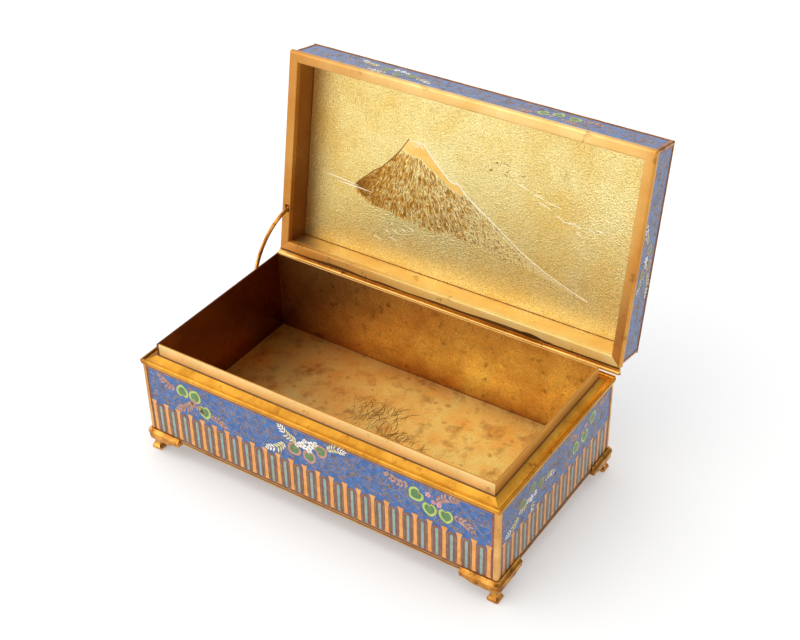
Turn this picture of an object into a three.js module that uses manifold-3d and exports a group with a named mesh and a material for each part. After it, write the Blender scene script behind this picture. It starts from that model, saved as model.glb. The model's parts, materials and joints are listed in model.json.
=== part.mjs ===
// A cloisonne enamel box with a hinged lid, shown open on its stay. Millimetres, +Z up, +X to the
// right along the long front, +Y to the back. Enamelled plaques stand in a gilt brass frame on four
// bracket feet; a brass tray inside rises above the ledge as a lip, and the lid closes over it.
import * as THREE from 'three';
import { mergeVertices } from 'three/addons/utils/BufferGeometryUtils.js';
import Module from 'manifold-3d';

// driving dimensions
const boxLength = 180; // over the ledge, along X
const boxDepth = 97.6; // over the ledge, along Y
const ledgeHeight = 49.66; // floor to the top of the ledge's outer bead
const lidThickness = 18.7; // rim to the top of the lid
const wallFoot = 8.9; // underside of the bottom rail
const openAngle = 100.3; // degrees from closed to the stay's stop
const solderGap = 0.1; // film between pieces that are soldered together
const cornerRound = 0.8; // of the ledge, the rim and the edge of the lid's top, seen from above

// insets are measured inward from the outer edge of the ledge
const postInset = 0.6;
const enamelInset = 0.8;
const plaqueThickness = 1.2;
const boxPost = { width: 2.2, round: 1.2 };
const lidPost = { width: 1.5, round: 1.0 };
const railTop = 10.8;
const ledgeUnderside = ledgeHeight - 2.46;

// tray
const trayInset = 5.75;
const trayWall = 0.9;
const trayFloor = 15.5; // top of the tray's floor
const lipHeight = 6.74; // lip above the ledge's bead
const ledgeInner = trayInset - solderGap;
const beadRadius = 0.75;
const slopeInset = 2 * beadRadius + 0.1; // the hollow slope runs from the bead to the lip
const slopeFoot = -0.75;
const slopeTop = 1.05;
const slopeHollow = 0.35;

// feet
const footArm = 17.4; // each arm, from the outer corner
const footRound = 1.8; // outer corner, seen from above
const footCapInner = 0.4; // the moulding's top edge, inside the wall's face
const footCap = 11.5; // top of the moulding that overlaps the foot of the walls
const apronTop = wallFoot - solderGap;
const apronFoot = 5.9;
const apronInner = 1.6;
const toeHalfWidth = 2.7;
const toeInset = -0.1;

// lid, described closed
const rimWidth = 5.0;
const rimThickness = 2.6;
const rimRest = ledgeHeight + 0.6; // underside of the closed lid's rim
const rimTop = rimRest + rimThickness;
const lidTop = rimRest + lidThickness;
const lidShift = 0.3; // the closed lid stands this far behind the box
const lidRailDepth = 0.6;
const lidRailWidth = 2.7;
const recessDepth = 12.9;
const recessWall = 0.6;
const lidPlateThickness = 0.9;

// hinge, along the whole back: one long knuckle on the box between two on the lid
const hingeY = boxDepth / 2 + 2.14;
const hingeZ = ledgeHeight + 0.32;
const hingeEnd = 90;
const hingeSplit = 53; // end of the box's knuckle, from the middle
const knuckleRadius = 0.8;
const knuckleGap = 0.3;
const pinRadius = 0.4;
const pinBore = 0.48;
const pinTip = 0.6; // the pin stands out of the knuckles at both ends
const leafThickness = 0.4;
const leafHeight = 2.3;
const leafClearance = 0.2; // the lid's leaf starts above the rim's lower edge
const barrelClearance = 0.15; // between the barrel and the web of the lid's leaf
const webOverhang = 0.56; // the lid's web, past the barrel's middle

// stay: a bent rod that turns on a pin in the lid's rim and slides through a slot in the ledge
const stayX = -86.8;
const stayRadius = 0.9;
const stayPinInset = 21.76; // pin, from the lid's back edge
const stayPinLift = 1.35; // pin above the rim's face
const staySlotReach = 23; // hinge to where the open rod passes the ledge
const staySlotDrop = 1.13; // middle of the ledge's thickness below the hinge
const stayBend = 33; // radius of the rod's bend
const stayTail = 2.3;
const stayEyeRadius = 1.25;
const stayPinRadius = 0.5;
const stayPinBore = 0.6;
const stayToe = 2.4;
const ledgeSlot = { width: 2.5, before: 4.1, after: 1.7 };
const rimSlot = { width: 2.2, halfLength: 1.75 };

const wasm = await Module();
wasm.setup();

const gilt = { color: 0xc98f3c, metalness: 1, roughness: 0.32 };
const sheetBrass = { color: 0xb98a45, metalness: 1, roughness: 0.42 };
const enamel = { color: 0x4a64b8, metalness: 0, roughness: 0.25 };
const stippledGilt = { color: 0xd8b45c, metalness: 1, roughness: 0.5 };

function piece(name, geometry, finish) {
  const mesh = new THREE.Mesh(geometry, new THREE.MeshStandardMaterial(finish));
  mesh.name = name;
  return mesh;
}

// ---- joining and cutting closed meshes

function toSolid(geometry) {
  const bare = geometry.clone();
  bare.deleteAttribute('normal');
  if (bare.attributes.uv) bare.deleteAttribute('uv');
  const merged = mergeVertices(bare, 1e-4);
  return new wasm.Manifold(new wasm.Mesh({
    numProp: 3,
    vertProperties: new Float32Array(merged.attributes.position.array),
    triVerts: new Uint32Array(merged.index.array),
  }));
}

function toGeometry(solid) {
  const { vertProperties, triVerts } = solid.getMesh();
  const geometry = new THREE.BufferGeometry();
  geometry.setAttribute('position', new THREE.BufferAttribute(vertProperties, 3));
  geometry.setIndex(new THREE.BufferAttribute(triVerts, 1));
  return geometry;
}

function join(...geometries) {
  const [first, ...others] = geometries.map(toSolid);
  return toGeometry(others.reduce((whole, part) => whole.add(part), first));
}

function cut(geometry, ...tools) {
  return toGeometry(tools.map(toSolid).reduce((rest, tool) => rest.subtract(tool), toSolid(geometry)));
}

// ---- basic forms

function block(low, high) {
  const size = high.map((value, axis) => value - low[axis]);
  const middle = high.map((value, axis) => (value + low[axis]) / 2);
  return new THREE.BoxGeometry(...size).translate(...middle);
}

function rodAlongX(radius, fromX, toX, y, z, sides = 20) {
  return new THREE.CylinderGeometry(radius, radius, toX - fromX, sides)
    .rotateZ(Math.PI / 2)
    .translate((fromX + toX) / 2, y, z);
}

// A strip with a constant section that follows stations round its corners. The section is a list of
// [inset, height] points; each station turns one into a point in space.
function mitredStrip(section, stations, closed) {
  const rings = stations.map((place) => section.map(([inset, height]) => place(inset, height)));
  const count = section.length;
  const positions = rings.flat().flat();
  const index = [];
  const spans = closed ? rings.length : rings.length - 1;
  for (let s = 0; s < spans; s++) {
    const near = s * count;
    const far = ((s + 1) % rings.length) * count;
    for (let i = 0; i < count; i++) {
      const next = (i + 1) % count;
      index.push(near + i, far + i, far + next, near + i, far + next, near + next);
    }
  }
  if (!closed) {
    const outline = section.map(([inset, height]) => new THREE.Vector2(inset, height));
    const last = (rings.length - 1) * count;
    for (const [a, b, c] of THREE.ShapeUtils.triangulateShape(outline, [])) {
      index.push(a, b, c, last + a, last + c, last + b);
    }
  }
  const geometry = new THREE.BufferGeometry();
  geometry.setAttribute('position', new THREE.Float32BufferAttribute(positions, 3));
  geometry.setIndex(index);
  return facingOut(welded(geometry));
}

// stations may share points, so equal points are merged and the triangles that this closes are dropped
function welded(geometry) {
  const merged = mergeVertices(geometry, 1e-4);
  const corners = merged.index.array;
  const kept = [];
  for (let i = 0; i < corners.length; i += 3) {
    const [a, b, c] = corners.slice(i, i + 3);
    if (a !== b && b !== c && c !== a) kept.push(a, b, c);
  }
  merged.setIndex(kept);
  return merged;
}

// turns the faces over if the form is inside out
function facingOut(geometry) {
  const p = geometry.attributes.position;
  const corners = geometry.index.array;
  const [a, b, c] = [new THREE.Vector3(), new THREE.Vector3(), new THREE.Vector3()];
  let volume = 0;
  for (let i = 0; i < corners.length; i += 3) {
    a.fromBufferAttribute(p, corners[i]);
    b.fromBufferAttribute(p, corners[i + 1]);
    c.fromBufferAttribute(p, corners[i + 2]);
    volume += a.dot(b.cross(c));
  }
  if (volume < 0) {
    for (let i = 0; i < corners.length; i += 3) {
      [corners[i], corners[i + 1]] = [corners[i + 1], corners[i]];
    }
  }
  return geometry;
}

const cornerSigns = [[-1, -1], [1, -1], [1, 1], [-1, 1]];

// Stations round one corner, counted from the front left: points less deep than the round follow an
// arc, and the rest meet in a mitre.
function cornerStations(corner, round, steps) {
  const [sx, sy] = cornerSigns[corner];
  const stations = [];
  for (let i = 0; i <= steps; i++) {
    const angle = (2 + corner + i / steps) * Math.PI / 2;
    stations.push((inset, height) => {
      const outward = Math.max(round - inset, 0);
      const depth = Math.max(round, inset);
      return [
        sx * (boxLength / 2 - depth) + outward * Math.cos(angle),
        sy * (boxDepth / 2 - depth) + outward * Math.sin(angle),
        height];
    });
  }
  return stations;
}

function frameOf(section, round = 0) {
  const stations = cornerSigns.flatMap((signs, corner) => cornerStations(corner, round, 4));
  return mitredStrip(section, stations, true);
}

// points along a shallow hollow between two [inset, height] points
function hollowSection([fromInset, foot], [toInset, top], hollow, steps) {
  const points = [];
  for (let i = 0; i <= steps; i++) {
    const t = i / steps;
    points.push([fromInset + (toInset - fromInset) * t, foot + (top - foot) * t - 4 * hollow * t * (1 - t)]);
  }
  return points;
}

function beadSection(radius, middleInset, middleHeight, steps) {
  const points = [];
  for (let i = 0; i <= steps; i++) {
    const t = Math.PI * i / steps;
    points.push([middleInset - radius * Math.cos(t), middleHeight + radius * Math.sin(t)]);
  }
  return points;
}

// a rounded lower edge, from the underside to the outer face
function roundedFoot(radius, height, steps) {
  const points = [];
  for (let i = 0; i <= steps; i++) {
    const t = Math.PI / 2 * i / steps;
    points.push([radius * (1 - Math.sin(t)), height + radius * (1 - Math.cos(t))]);
  }
  return points;
}

// ---- plaques, posts and rails, used by the box and by the lid

function sidePlaques(prefix, bottom, top, post) {
  const inner = enamelInset + plaqueThickness;
  const endInset = postInset + post.width + solderGap;
  const halfX = boxLength / 2;
  const halfY = boxDepth / 2;
  const walls = [
    ['front', [-halfX + endInset, -halfY + enamelInset], [halfX - endInset, -halfY + inner]],
    ['back', [-halfX + endInset, halfY - inner], [halfX - endInset, halfY - enamelInset]],
    ['left', [-halfX + enamelInset, -halfY + endInset], [-halfX + inner, halfY - endInset]],
    ['right', [halfX - inner, -halfY + endInset], [halfX - enamelInset, halfY - endInset]],
  ];
  return walls.map(([side, low, high]) => piece(
    `${prefix}_${side}`, block([...low, bottom], [...high, top]), enamel));
}

// a square post whose outer corner is rounded
function cornerPosts(prefix, bottom, top, { width, round }) {
  const outline = new THREE.Shape();
  outline.moveTo(width, width);
  outline.lineTo(0, width);
  outline.lineTo(0, round);
  outline.absarc(round, round, round, Math.PI, 1.5 * Math.PI, false);
  outline.lineTo(width, 0);
  const names = ['front_left', 'front_right', 'back_right', 'back_left'];
  return names.map((corner, i) => {
    const [sx, sy] = cornerSigns[i];
    const geometry = new THREE.ExtrudeGeometry(outline, {
      depth: top - bottom, bevelEnabled: false, curveSegments: 6 });
    const quarterTurns = i * Math.PI / 2;
    geometry.rotateZ(quarterTurns);
    geometry.translate(sx * (boxLength / 2 - postInset), sy * (boxDepth / 2 - postInset), bottom);
    return piece(`${prefix}_${corner}`, geometry, gilt);
  });
}

// ---- box

function bottomRail() {
  const inner = enamelInset + plaqueThickness + 0.1;
  const top = railTop - solderGap;
  return piece('bottom_rail', frameOf([
    [inner, wallFoot], [0.9, wallFoot], [0.5, wallFoot + 0.35], [0.5, top - 0.3], [0.75, top], [inner, top],
  ], 2 * cornerRound), gilt);
}

function bottomPlate() {
  const inset = enamelInset + plaqueThickness + 0.1 + solderGap;
  const halfX = boxLength / 2 - inset;
  const halfY = boxDepth / 2 - inset;
  return piece('bottom_plate', block([-halfX, -halfY, wallFoot], [halfX, halfY, wallFoot + 1.2]), sheetBrass);
}

function ledgeMoulding() {
  const h = ledgeHeight;
  const bead = beadSection(beadRadius, beadRadius, h - beadRadius, 8);
  const slope = hollowSection([slopeInset, h + slopeFoot], [ledgeInner, h + slopeTop], slopeHollow, 6);
  const section = [
    [ledgeInner, ledgeUnderside], [0.5, ledgeUnderside], [0.3, ledgeUnderside + 0.2],
    [0.3, h - 1.75], [0.55, h - 1.6], [0.55, h - 1.45], [0.1, h - 1.3], ...bead, ...slope,
  ];
  const slotY = hingeY - staySlotReach;
  const slot = block(
    [stayX - ledgeSlot.width / 2, slotY - ledgeSlot.before, ledgeUnderside - 1],
    [stayX + ledgeSlot.width / 2, slotY + ledgeSlot.after, h + 2]);
  return piece('ledge_moulding', cut(frameOf(section, cornerRound), slot), gilt);
}

function tray() {
  const top = ledgeHeight + lipHeight;
  const inner = trayInset + trayWall;
  const round = 0.3;
  const wall = frameOf([
    [trayInset, trayFloor - 1], [trayInset, top - round], [trayInset + 0.1, top - 0.08],
    [trayInset + round, top], [inner - round, top], [inner - 0.1, top - 0.08],
    [inner, top - round], [inner, trayFloor - 1],
  ]);
  const halfX = boxLength / 2 - inner + 0.3;
  const halfY = boxDepth / 2 - inner + 0.3;
  const floor = block([-halfX, -halfY, trayFloor - 1], [halfX, halfY, trayFloor]);
  return piece('tray', join(wall, floor), sheetBrass);
}

// ---- bracket feet

// One foot stands at the corner where x and y are both negative; the others are its mirror images.
function footForm() {
  const x0 = -boxLength / 2;
  const y0 = -boxDepth / 2;
  // from the top: a slope out from the wall, a round fillet, a quirk, and the swelling apron
  const section = [
    [footCapInner, footCap], [0, footCap - 0.15], [-0.5, footCap - 0.55], [-0.95, footCap - 1.0],
    [-1.2, footCap - 1.2], [-1.35, footCap - 1.55], [-1.3, footCap - 1.9], [-1.1, footCap - 2.2],
    [-0.8, footCap - 2.3], [-0.75, footCap - 2.5], [-0.95, footCap - 3.1], [-1.0, footCap - 3.9],
    [-0.9, apronFoot + 0.9], [-0.6, apronFoot + 0.2], [-0.3, apronFoot],
    [apronInner, apronFoot], [apronInner, apronTop], [footCapInner, apronTop],
  ];
  const arms = mitredStrip(section, [
    (inset, height) => [x0 + inset, y0 + footArm, height],
    ...cornerStations(0, footRound, 4),
    (inset, height) => [x0 + footArm, y0 + inset, height],
  ], false);
  const blockReach = 2 * toeHalfWidth - 0.4;
  const gluedBlock = block(
    [x0 + apronInner - 0.1, y0 + apronInner - 0.1, apronFoot],
    [x0 + blockReach, y0 + blockReach, apronTop]);
  const toe = toeForm().translate(
    x0 + toeInset + toeHalfWidth, y0 + toeInset + toeHalfWidth, 0);
  return cut(join(arms, gluedBlock, toe), ...ogeeCutters(x0, y0));
}

// what the ogee takes off below each arm: distance from the corner, height
function ogeeCutters(x0, y0) {
  const below = new THREE.Shape();
  const lift = 2.0;
  below.moveTo(footArm + 1, 0);
  below.lineTo(footArm + 1, apronFoot + lift);
  below.lineTo(footArm - 1.4, apronFoot + lift);
  below.bezierCurveTo(
    footArm - 3.4, apronFoot + lift - 0.1, footArm - 3.8, apronFoot + 1.3, footArm - 5.4, apronFoot + 0.8);
  below.bezierCurveTo(
    footArm - 6.8, apronFoot + 0.3, footArm - 7.6, apronFoot - 0.05, footArm - 9.0, apronFoot - 0.05);
  below.lineTo(footArm - 9.0, 0);
  const width = 6;
  const plate = new THREE.ExtrudeGeometry(below, { depth: width, bevelEnabled: false, curveSegments: 5 });
  const frontCutter = plate.clone().rotateX(Math.PI / 2).translate(x0, y0 + width / 2, 0);
  const sideCutter = plate.clone().rotateX(Math.PI / 2).rotateZ(Math.PI / 2)
    .translate(x0 - width / 2, y0, 0);
  return [frontCutter, sideCutter];
}

// the toe is a small square baluster with its corners taken off: four turned sides within eight
function toeForm() {
  const profile = [
    [0, 0], [2.45, 0], [2.65, 0.3], [2.7, 0.7], [2.6, 1.2], [2.25, 1.75], [1.85, 2.5], [1.6, 3.3],
    [1.55, 4.1], [1.75, 4.9], [2.1, 5.5], [2.2, apronFoot + 0.3], [0, apronFoot + 0.3],
  ];
  const turned = (sides, reach) => new THREE.LatheGeometry(
    profile.map(([half, height]) => new THREE.Vector2(half * reach, height)), sides)
    .rotateX(Math.PI / 2).rotateZ(Math.PI / sides);
  const square = toSolid(turned(4, Math.SQRT2));
  const cornerCut = 0.9; // of the square's corner reach
  return toGeometry(square.intersect(toSolid(turned(8, cornerCut * Math.SQRT2 / Math.cos(Math.PI / 8)))));
}

function feet() {
  const form = footForm();
  const places = [
    ['foot_front_left', 1, 1], ['foot_front_right', -1, 1],
    ['foot_back_left', 1, -1], ['foot_back_right', -1, -1]];
  return places.map(([name, sx, sy]) => piece(name, facingOut(form.clone().scale(sx, sy, 1)), gilt));
}

// ---- hinge

// One leaf: a sheet against the back, a web that turns out from it to the barrel and may reach past
// it, and knuckles that a neck ties to the web.
function hingeLeaf(name, barrelY, sheetZ, web, knuckles) {
  const leafY = boxDepth / 2 + solderGap;
  const sheetHalf = hingeEnd - cornerRound;
  const neckZ = [hingeZ, (web.foot + web.top) / 2].sort((a, b) => a - b);
  const forms = [
    block([-sheetHalf, leafY, sheetZ[0]], [sheetHalf, leafY + leafThickness, sheetZ[1]]),
    block([-web.half, leafY, web.foot], [web.half, barrelY + web.past, web.top]),
  ];
  for (const [from, to] of knuckles) {
    forms.push(rodAlongX(knuckleRadius, from, to, barrelY, hingeZ));
    forms.push(block([from, leafY, neckZ[0]], [to, barrelY, neckZ[1]]));
  }
  const bore = rodAlongX(pinBore, -hingeEnd - 1, hingeEnd + 1, barrelY, hingeZ);
  return piece(name, cut(join(...forms), bore), gilt);
}

function hingeBox() {
  const sheetTop = hingeZ - 0.3;
  const web = { half: hingeSplit, past: 0, foot: hingeZ - knuckleRadius + 0.02, top: sheetTop };
  return hingeLeaf(
    'hinge_box', hingeY, [sheetTop - leafHeight, sheetTop], web, [[-hingeSplit, hingeSplit]]);
}

function hingeLid() {
  const sheetFoot = rimRest + leafClearance;
  const webFoot = hingeZ + knuckleRadius + barrelClearance;
  const web = { half: hingeEnd - cornerRound, past: webOverhang, foot: webFoot, top: webFoot + leafThickness };
  const start = hingeSplit + knuckleGap;
  return hingeLeaf(
    'hinge_lid', hingeY - lidShift, [sheetFoot, sheetFoot + leafHeight], web,
    [[-hingeEnd, -start], [start, hingeEnd]]);
}

function hingePin() {
  const end = hingeEnd + pinTip;
  return piece('hinge_pin', rodAlongX(pinRadius, -end, end, hingeY, hingeZ, 16), gilt);
}

// ---- lid, built closed

function lidRim() {
  const [low, high] = [rimRest, rimTop];
  const innerRound = 0.5;
  const section = [
    [rimWidth, low + innerRound], [rimWidth, high], [0.6, high], [0.2, high - 0.15], [0, high - 0.5],
    ...roundedFoot(1.1, low, 5).reverse(), [rimWidth - innerRound, low],
    [rimWidth - 0.3 * innerRound, low + 0.3 * innerRound],
  ];
  const pinY = boxDepth / 2 - stayPinInset;
  const pinZ = rimRest + stayPinLift;
  const slot = block(
    [stayX - rimSlot.width / 2, pinY - rimSlot.halfLength, low - 1],
    [stayX + rimSlot.width / 2, pinY + rimSlot.halfLength, high + 1]);
  const bore = rodAlongX(stayPinBore, stayX - 1.9, -boxLength / 2 + rimWidth + 1, pinY, pinZ, 16);
  return piece('lid_rim', cut(frameOf(section, cornerRound), slot, bore), gilt);
}

// the gilt edge of the top: its flange lies on the side plaques and posts, and a web inside them goes
// down to a shelf that carries the top plaque
function lidTopRail() {
  const [low, high] = [lidTop - lidRailDepth, lidTop];
  const shelfReach = 0.9;
  const shelfTop = high - plaqueThickness - solderGap;
  const shelfFoot = shelfTop - 0.8;
  const behind = enamelInset + plaqueThickness + solderGap;
  const frame = frameOf([
    [lidRailWidth + shelfReach, shelfFoot], [lidRailWidth + shelfReach, shelfTop],
    [lidRailWidth, shelfTop], [lidRailWidth, high], [0.9, high], [0.62, high - 0.08],
    [0.48, high - 0.25], [0.48, low + 0.1], [0.6, low], [behind, low], [behind, shelfFoot],
  ], cornerRound);
  const seat = postInset + lidPost.width + solderGap;
  const seats = cornerSigns.map(([sx, sy]) => {
    const x = [sx * boxLength / 2, sx * (boxLength / 2 - seat)].sort((a, b) => a - b);
    const y = [sy * boxDepth / 2, sy * (boxDepth / 2 - seat)].sort((a, b) => a - b);
    return block([x[0], y[0], shelfFoot - 1], [x[1], y[1], low - solderGap / 2]);
  });
  return piece('lid_top_rail', cut(frame, ...seats), gilt);
}

function lidPlaqueTop() {
  const inset = lidRailWidth + solderGap;
  const halfX = boxLength / 2 - inset;
  const halfY = boxDepth / 2 - inset;
  return piece('lid_plaque_top', block(
    [-halfX, -halfY, lidTop - plaqueThickness], [halfX, halfY, lidTop - 0.05]), enamel);
}

function lidLining() {
  const low = rimTop + solderGap;
  const high = rimRest + recessDepth - solderGap;
  return piece('lid_lining', frameOf([
    [rimWidth, low], [rimWidth, high], [rimWidth - recessWall, high], [rimWidth - recessWall, low],
  ]), sheetBrass);
}

function lidPlate() {
  const inset = rimWidth - recessWall;
  const low = rimRest + recessDepth;
  const halfX = boxLength / 2 - inset;
  const halfY = boxDepth / 2 - inset;
  return piece('lid_plate', block(
    [-halfX, -halfY, low], [halfX, halfY, low + lidPlateThickness]), stippledGilt);
}

function stayPin() {
  const pinY = boxDepth / 2 - stayPinInset;
  const pinZ = rimRest + stayPinLift;
  return piece('stay_pin', rodAlongX(
    stayPinRadius, stayX - 1.7, -boxLength / 2 + rimWidth - 0.1, pinY, pinZ, 16), gilt);
}

// ---- stay, built where it stands with the lid open

class ArcAcross extends THREE.Curve {
  constructor(middle, radius, from, to) {
    super();
    Object.assign(this, { middle, radius, from, to });
  }

  getPoint(t, target = new THREE.Vector3()) {
    const angle = this.from + (this.to - this.from) * t;
    const y = this.middle.x + this.radius * Math.cos(angle);
    return target.set(0, y, this.middle.y + this.radius * Math.sin(angle));
  }
}

function openPoint(y, z) {
  const turn = -THREE.MathUtils.degToRad(openAngle);
  return new THREE.Vector2(y, z).rotateAround(new THREE.Vector2(hingeY, hingeZ), turn);
}

function stay() {
  const eye = openPoint(boxDepth / 2 - stayPinInset + lidShift, rimRest + stayPinLift);
  const pass = new THREE.Vector2(hingeY - staySlotReach, hingeZ - staySlotDrop);
  const chord = pass.clone().sub(eye);
  const across = new THREE.Vector2(-chord.y, chord.x).normalize();
  const rise = Math.sqrt(stayBend ** 2 - chord.lengthSq() / 4);
  const middle = eye.clone().add(pass).multiplyScalar(0.5).addScaledVector(across, rise);
  const angleOf = (point) => Math.atan2(point.y - middle.y, point.x - middle.x);
  const from = angleOf(eye);
  let to = angleOf(pass);
  if (to < from) to += 2 * Math.PI;
  to += stayTail / stayBend;
  const section = new THREE.Shape();
  section.absarc(0, 0, stayRadius, 0, 2 * Math.PI, false);
  const path = new ArcAcross(middle, stayBend, from, to);
  const rod = new THREE.ExtrudeGeometry(section, { steps: 24, curveSegments: 5, extrudePath: path });
  rod.translate(stayX, 0, 0);
  const ring = rodAlongX(stayEyeRadius, stayX - stayRadius, stayX + stayRadius, eye.x, eye.y, 20);
  const bore = rodAlongX(stayPinBore, stayX - 2, stayX + 2, eye.x, eye.y, 16);
  const tail = path.getPoint(1);
  const toe = new THREE.CylinderGeometry(0.7, 0.7, stayToe, 12)
    .rotateX(Math.atan2(-Math.cos(to), Math.sin(to)) + Math.PI / 2)
    .translate(stayX, 0, 0);
  const inward = new THREE.Vector2(-Math.cos(to), -Math.sin(to));
  toe.translate(0, tail.y + inward.x * stayToe / 2, tail.z + inward.y * stayToe / 2);
  return piece('stay', cut(join(toGeometry(toSolid(rod)), ring, toe), bore), gilt);
}

// ---- assembly

const box = new THREE.Group();
const wallTop = ledgeUnderside - solderGap;
box.add(bottomPlate(), bottomRail(), ...feet());
box.add(...cornerPosts('post', railTop, wallTop, boxPost));
box.add(...sidePlaques('plaque', railTop, wallTop, boxPost));
box.add(ledgeMoulding(), tray(), hingeBox(), hingePin());

const closedLid = new THREE.Group();
const lidWallFoot = rimTop + solderGap;
const lidWallTop = lidTop - lidRailDepth - solderGap;
closedLid.add(lidRim(), lidTopRail(), lidPlaqueTop(), lidLining(), lidPlate(), stayPin(), hingeLid());
closedLid.add(...cornerPosts('lid_post', lidWallFoot, lidWallTop, lidPost));
closedLid.add(...sidePlaques('lid_plaque', lidWallFoot, lidWallTop, lidPost));
closedLid.position.set(0, lidShift - hingeY, -hingeZ);

const lid = new THREE.Group();
lid.position.set(0, hingeY, hingeZ);
lid.rotation.x = -THREE.MathUtils.degToRad(openAngle);
lid.add(closedLid);
box.add(lid, stay());

// the origin is on the floor, below the middle of everything the open box covers
box.updateMatrixWorld(true);
const reach = new THREE.Box3().setFromObject(box, true);
box.position.set(-(reach.min.x + reach.max.x) / 2, -(reach.min.y + reach.max.y) / 2, -reach.min.z);

export default box;
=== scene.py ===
# The finish of a cloisonne enamel box that stands open on its stay: gilt brass frame, enamel cells
# in copper wire, an engraved and matted plate in the lid, and a tarnished brass tray.
import json
import math
import random
from functools import partial

import bmesh
import bpy
from mathutils import Matrix, Vector
from mathutils.geometry import tessellate_polygon


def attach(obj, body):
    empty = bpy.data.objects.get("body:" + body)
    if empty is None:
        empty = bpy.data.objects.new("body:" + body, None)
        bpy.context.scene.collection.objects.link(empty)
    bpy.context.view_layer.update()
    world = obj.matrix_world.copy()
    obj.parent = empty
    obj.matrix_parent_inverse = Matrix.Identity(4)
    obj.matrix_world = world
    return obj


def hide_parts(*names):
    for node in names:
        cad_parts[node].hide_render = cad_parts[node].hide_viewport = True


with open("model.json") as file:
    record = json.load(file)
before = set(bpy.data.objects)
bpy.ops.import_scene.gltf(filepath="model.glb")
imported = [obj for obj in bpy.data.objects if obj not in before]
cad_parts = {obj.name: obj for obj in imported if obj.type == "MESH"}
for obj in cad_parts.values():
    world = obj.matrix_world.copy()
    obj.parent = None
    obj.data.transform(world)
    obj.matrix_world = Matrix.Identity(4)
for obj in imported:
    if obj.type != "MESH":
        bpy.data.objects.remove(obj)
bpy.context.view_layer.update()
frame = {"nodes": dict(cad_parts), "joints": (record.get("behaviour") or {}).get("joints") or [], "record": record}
print("frame loaded")

mm = 0.001  # everything below is in millimetres until it becomes a mesh


def addToScene(name, data):
    piece = bpy.data.objects.new(name, data)
    bpy.context.scene.collection.objects.link(piece)
    return piece


# where the camera stands, and how it looks
camera = {
    "target": (-15.1, 42.27, 43.5),  # mm, from the point on the floor below the middle of the box
    "distance": 650.0,  # mm
    "azimuth": 34.04,  # degrees to the right of the front
    "elevation": 35.40,
    "roll": -1.19,
    "lens": 64.5,
}


def placeCamera(look, middle):
    turn = (Matrix.Rotation(math.radians(look["azimuth"]), 4, "Z")
            @ Matrix.Rotation(math.radians(90 - look["elevation"]), 4, "X"))
    back = turn @ Vector((0, 0, 1))
    data = bpy.data.cameras.new("camera")
    data.lens = look["lens"]
    data.clip_start = 0.01
    piece = addToScene("camera", data)
    place = (middle + Vector(look["target"])) * mm + back * look["distance"] * mm
    roll = Matrix.Rotation(math.radians(look["roll"]), 4, "Z")
    piece.matrix_world = Matrix.Translation(place) @ turn @ roll
    bpy.context.scene.camera = piece


def toLinear(hexColour):
    channels = [int(hexColour[i:i + 2], 16) / 255 for i in (1, 3, 5)]
    linear = [c / 12.92 if c <= 0.04045 else ((c + 0.055) / 1.055) ** 2.4 for c in channels]
    return (*linear, 1.0)


def perMetre(size):
    return 1 / (size * mm)  # how often a pattern of this size in mm repeats in a metre


def newMaterial(name):
    material = bpy.data.materials.new(name)
    material.use_nodes = True
    material.node_tree.nodes.clear()
    return material, partial(addNode, material)


# one node with its settings and its links, where a node stands for its first output
def addNode(owner, kind, settings=None, links=None):
    node = owner.node_tree.nodes.new("ShaderNode" + kind)
    for name, value in (settings or {}).items():
        if name == "stops":
            ramp = node.color_ramp.elements
            while len(ramp) < len(value):
                ramp.new(1.0)
            for stop, (place, colour) in zip(ramp, value):
                stop.position = place
                stop.color = toLinear(colour) if isinstance(colour, str) else (*[colour] * 3, 1)
        elif isinstance(name, str) and hasattr(node, name):
            setattr(node, name, value)
        else:
            node.inputs[name].default_value = value
    for name, source in (links or {}).items():
        socket = source.outputs[0] if isinstance(source, bpy.types.Node) else source
        owner.node_tree.links.new(socket, node.inputs[name])
    return node


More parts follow.
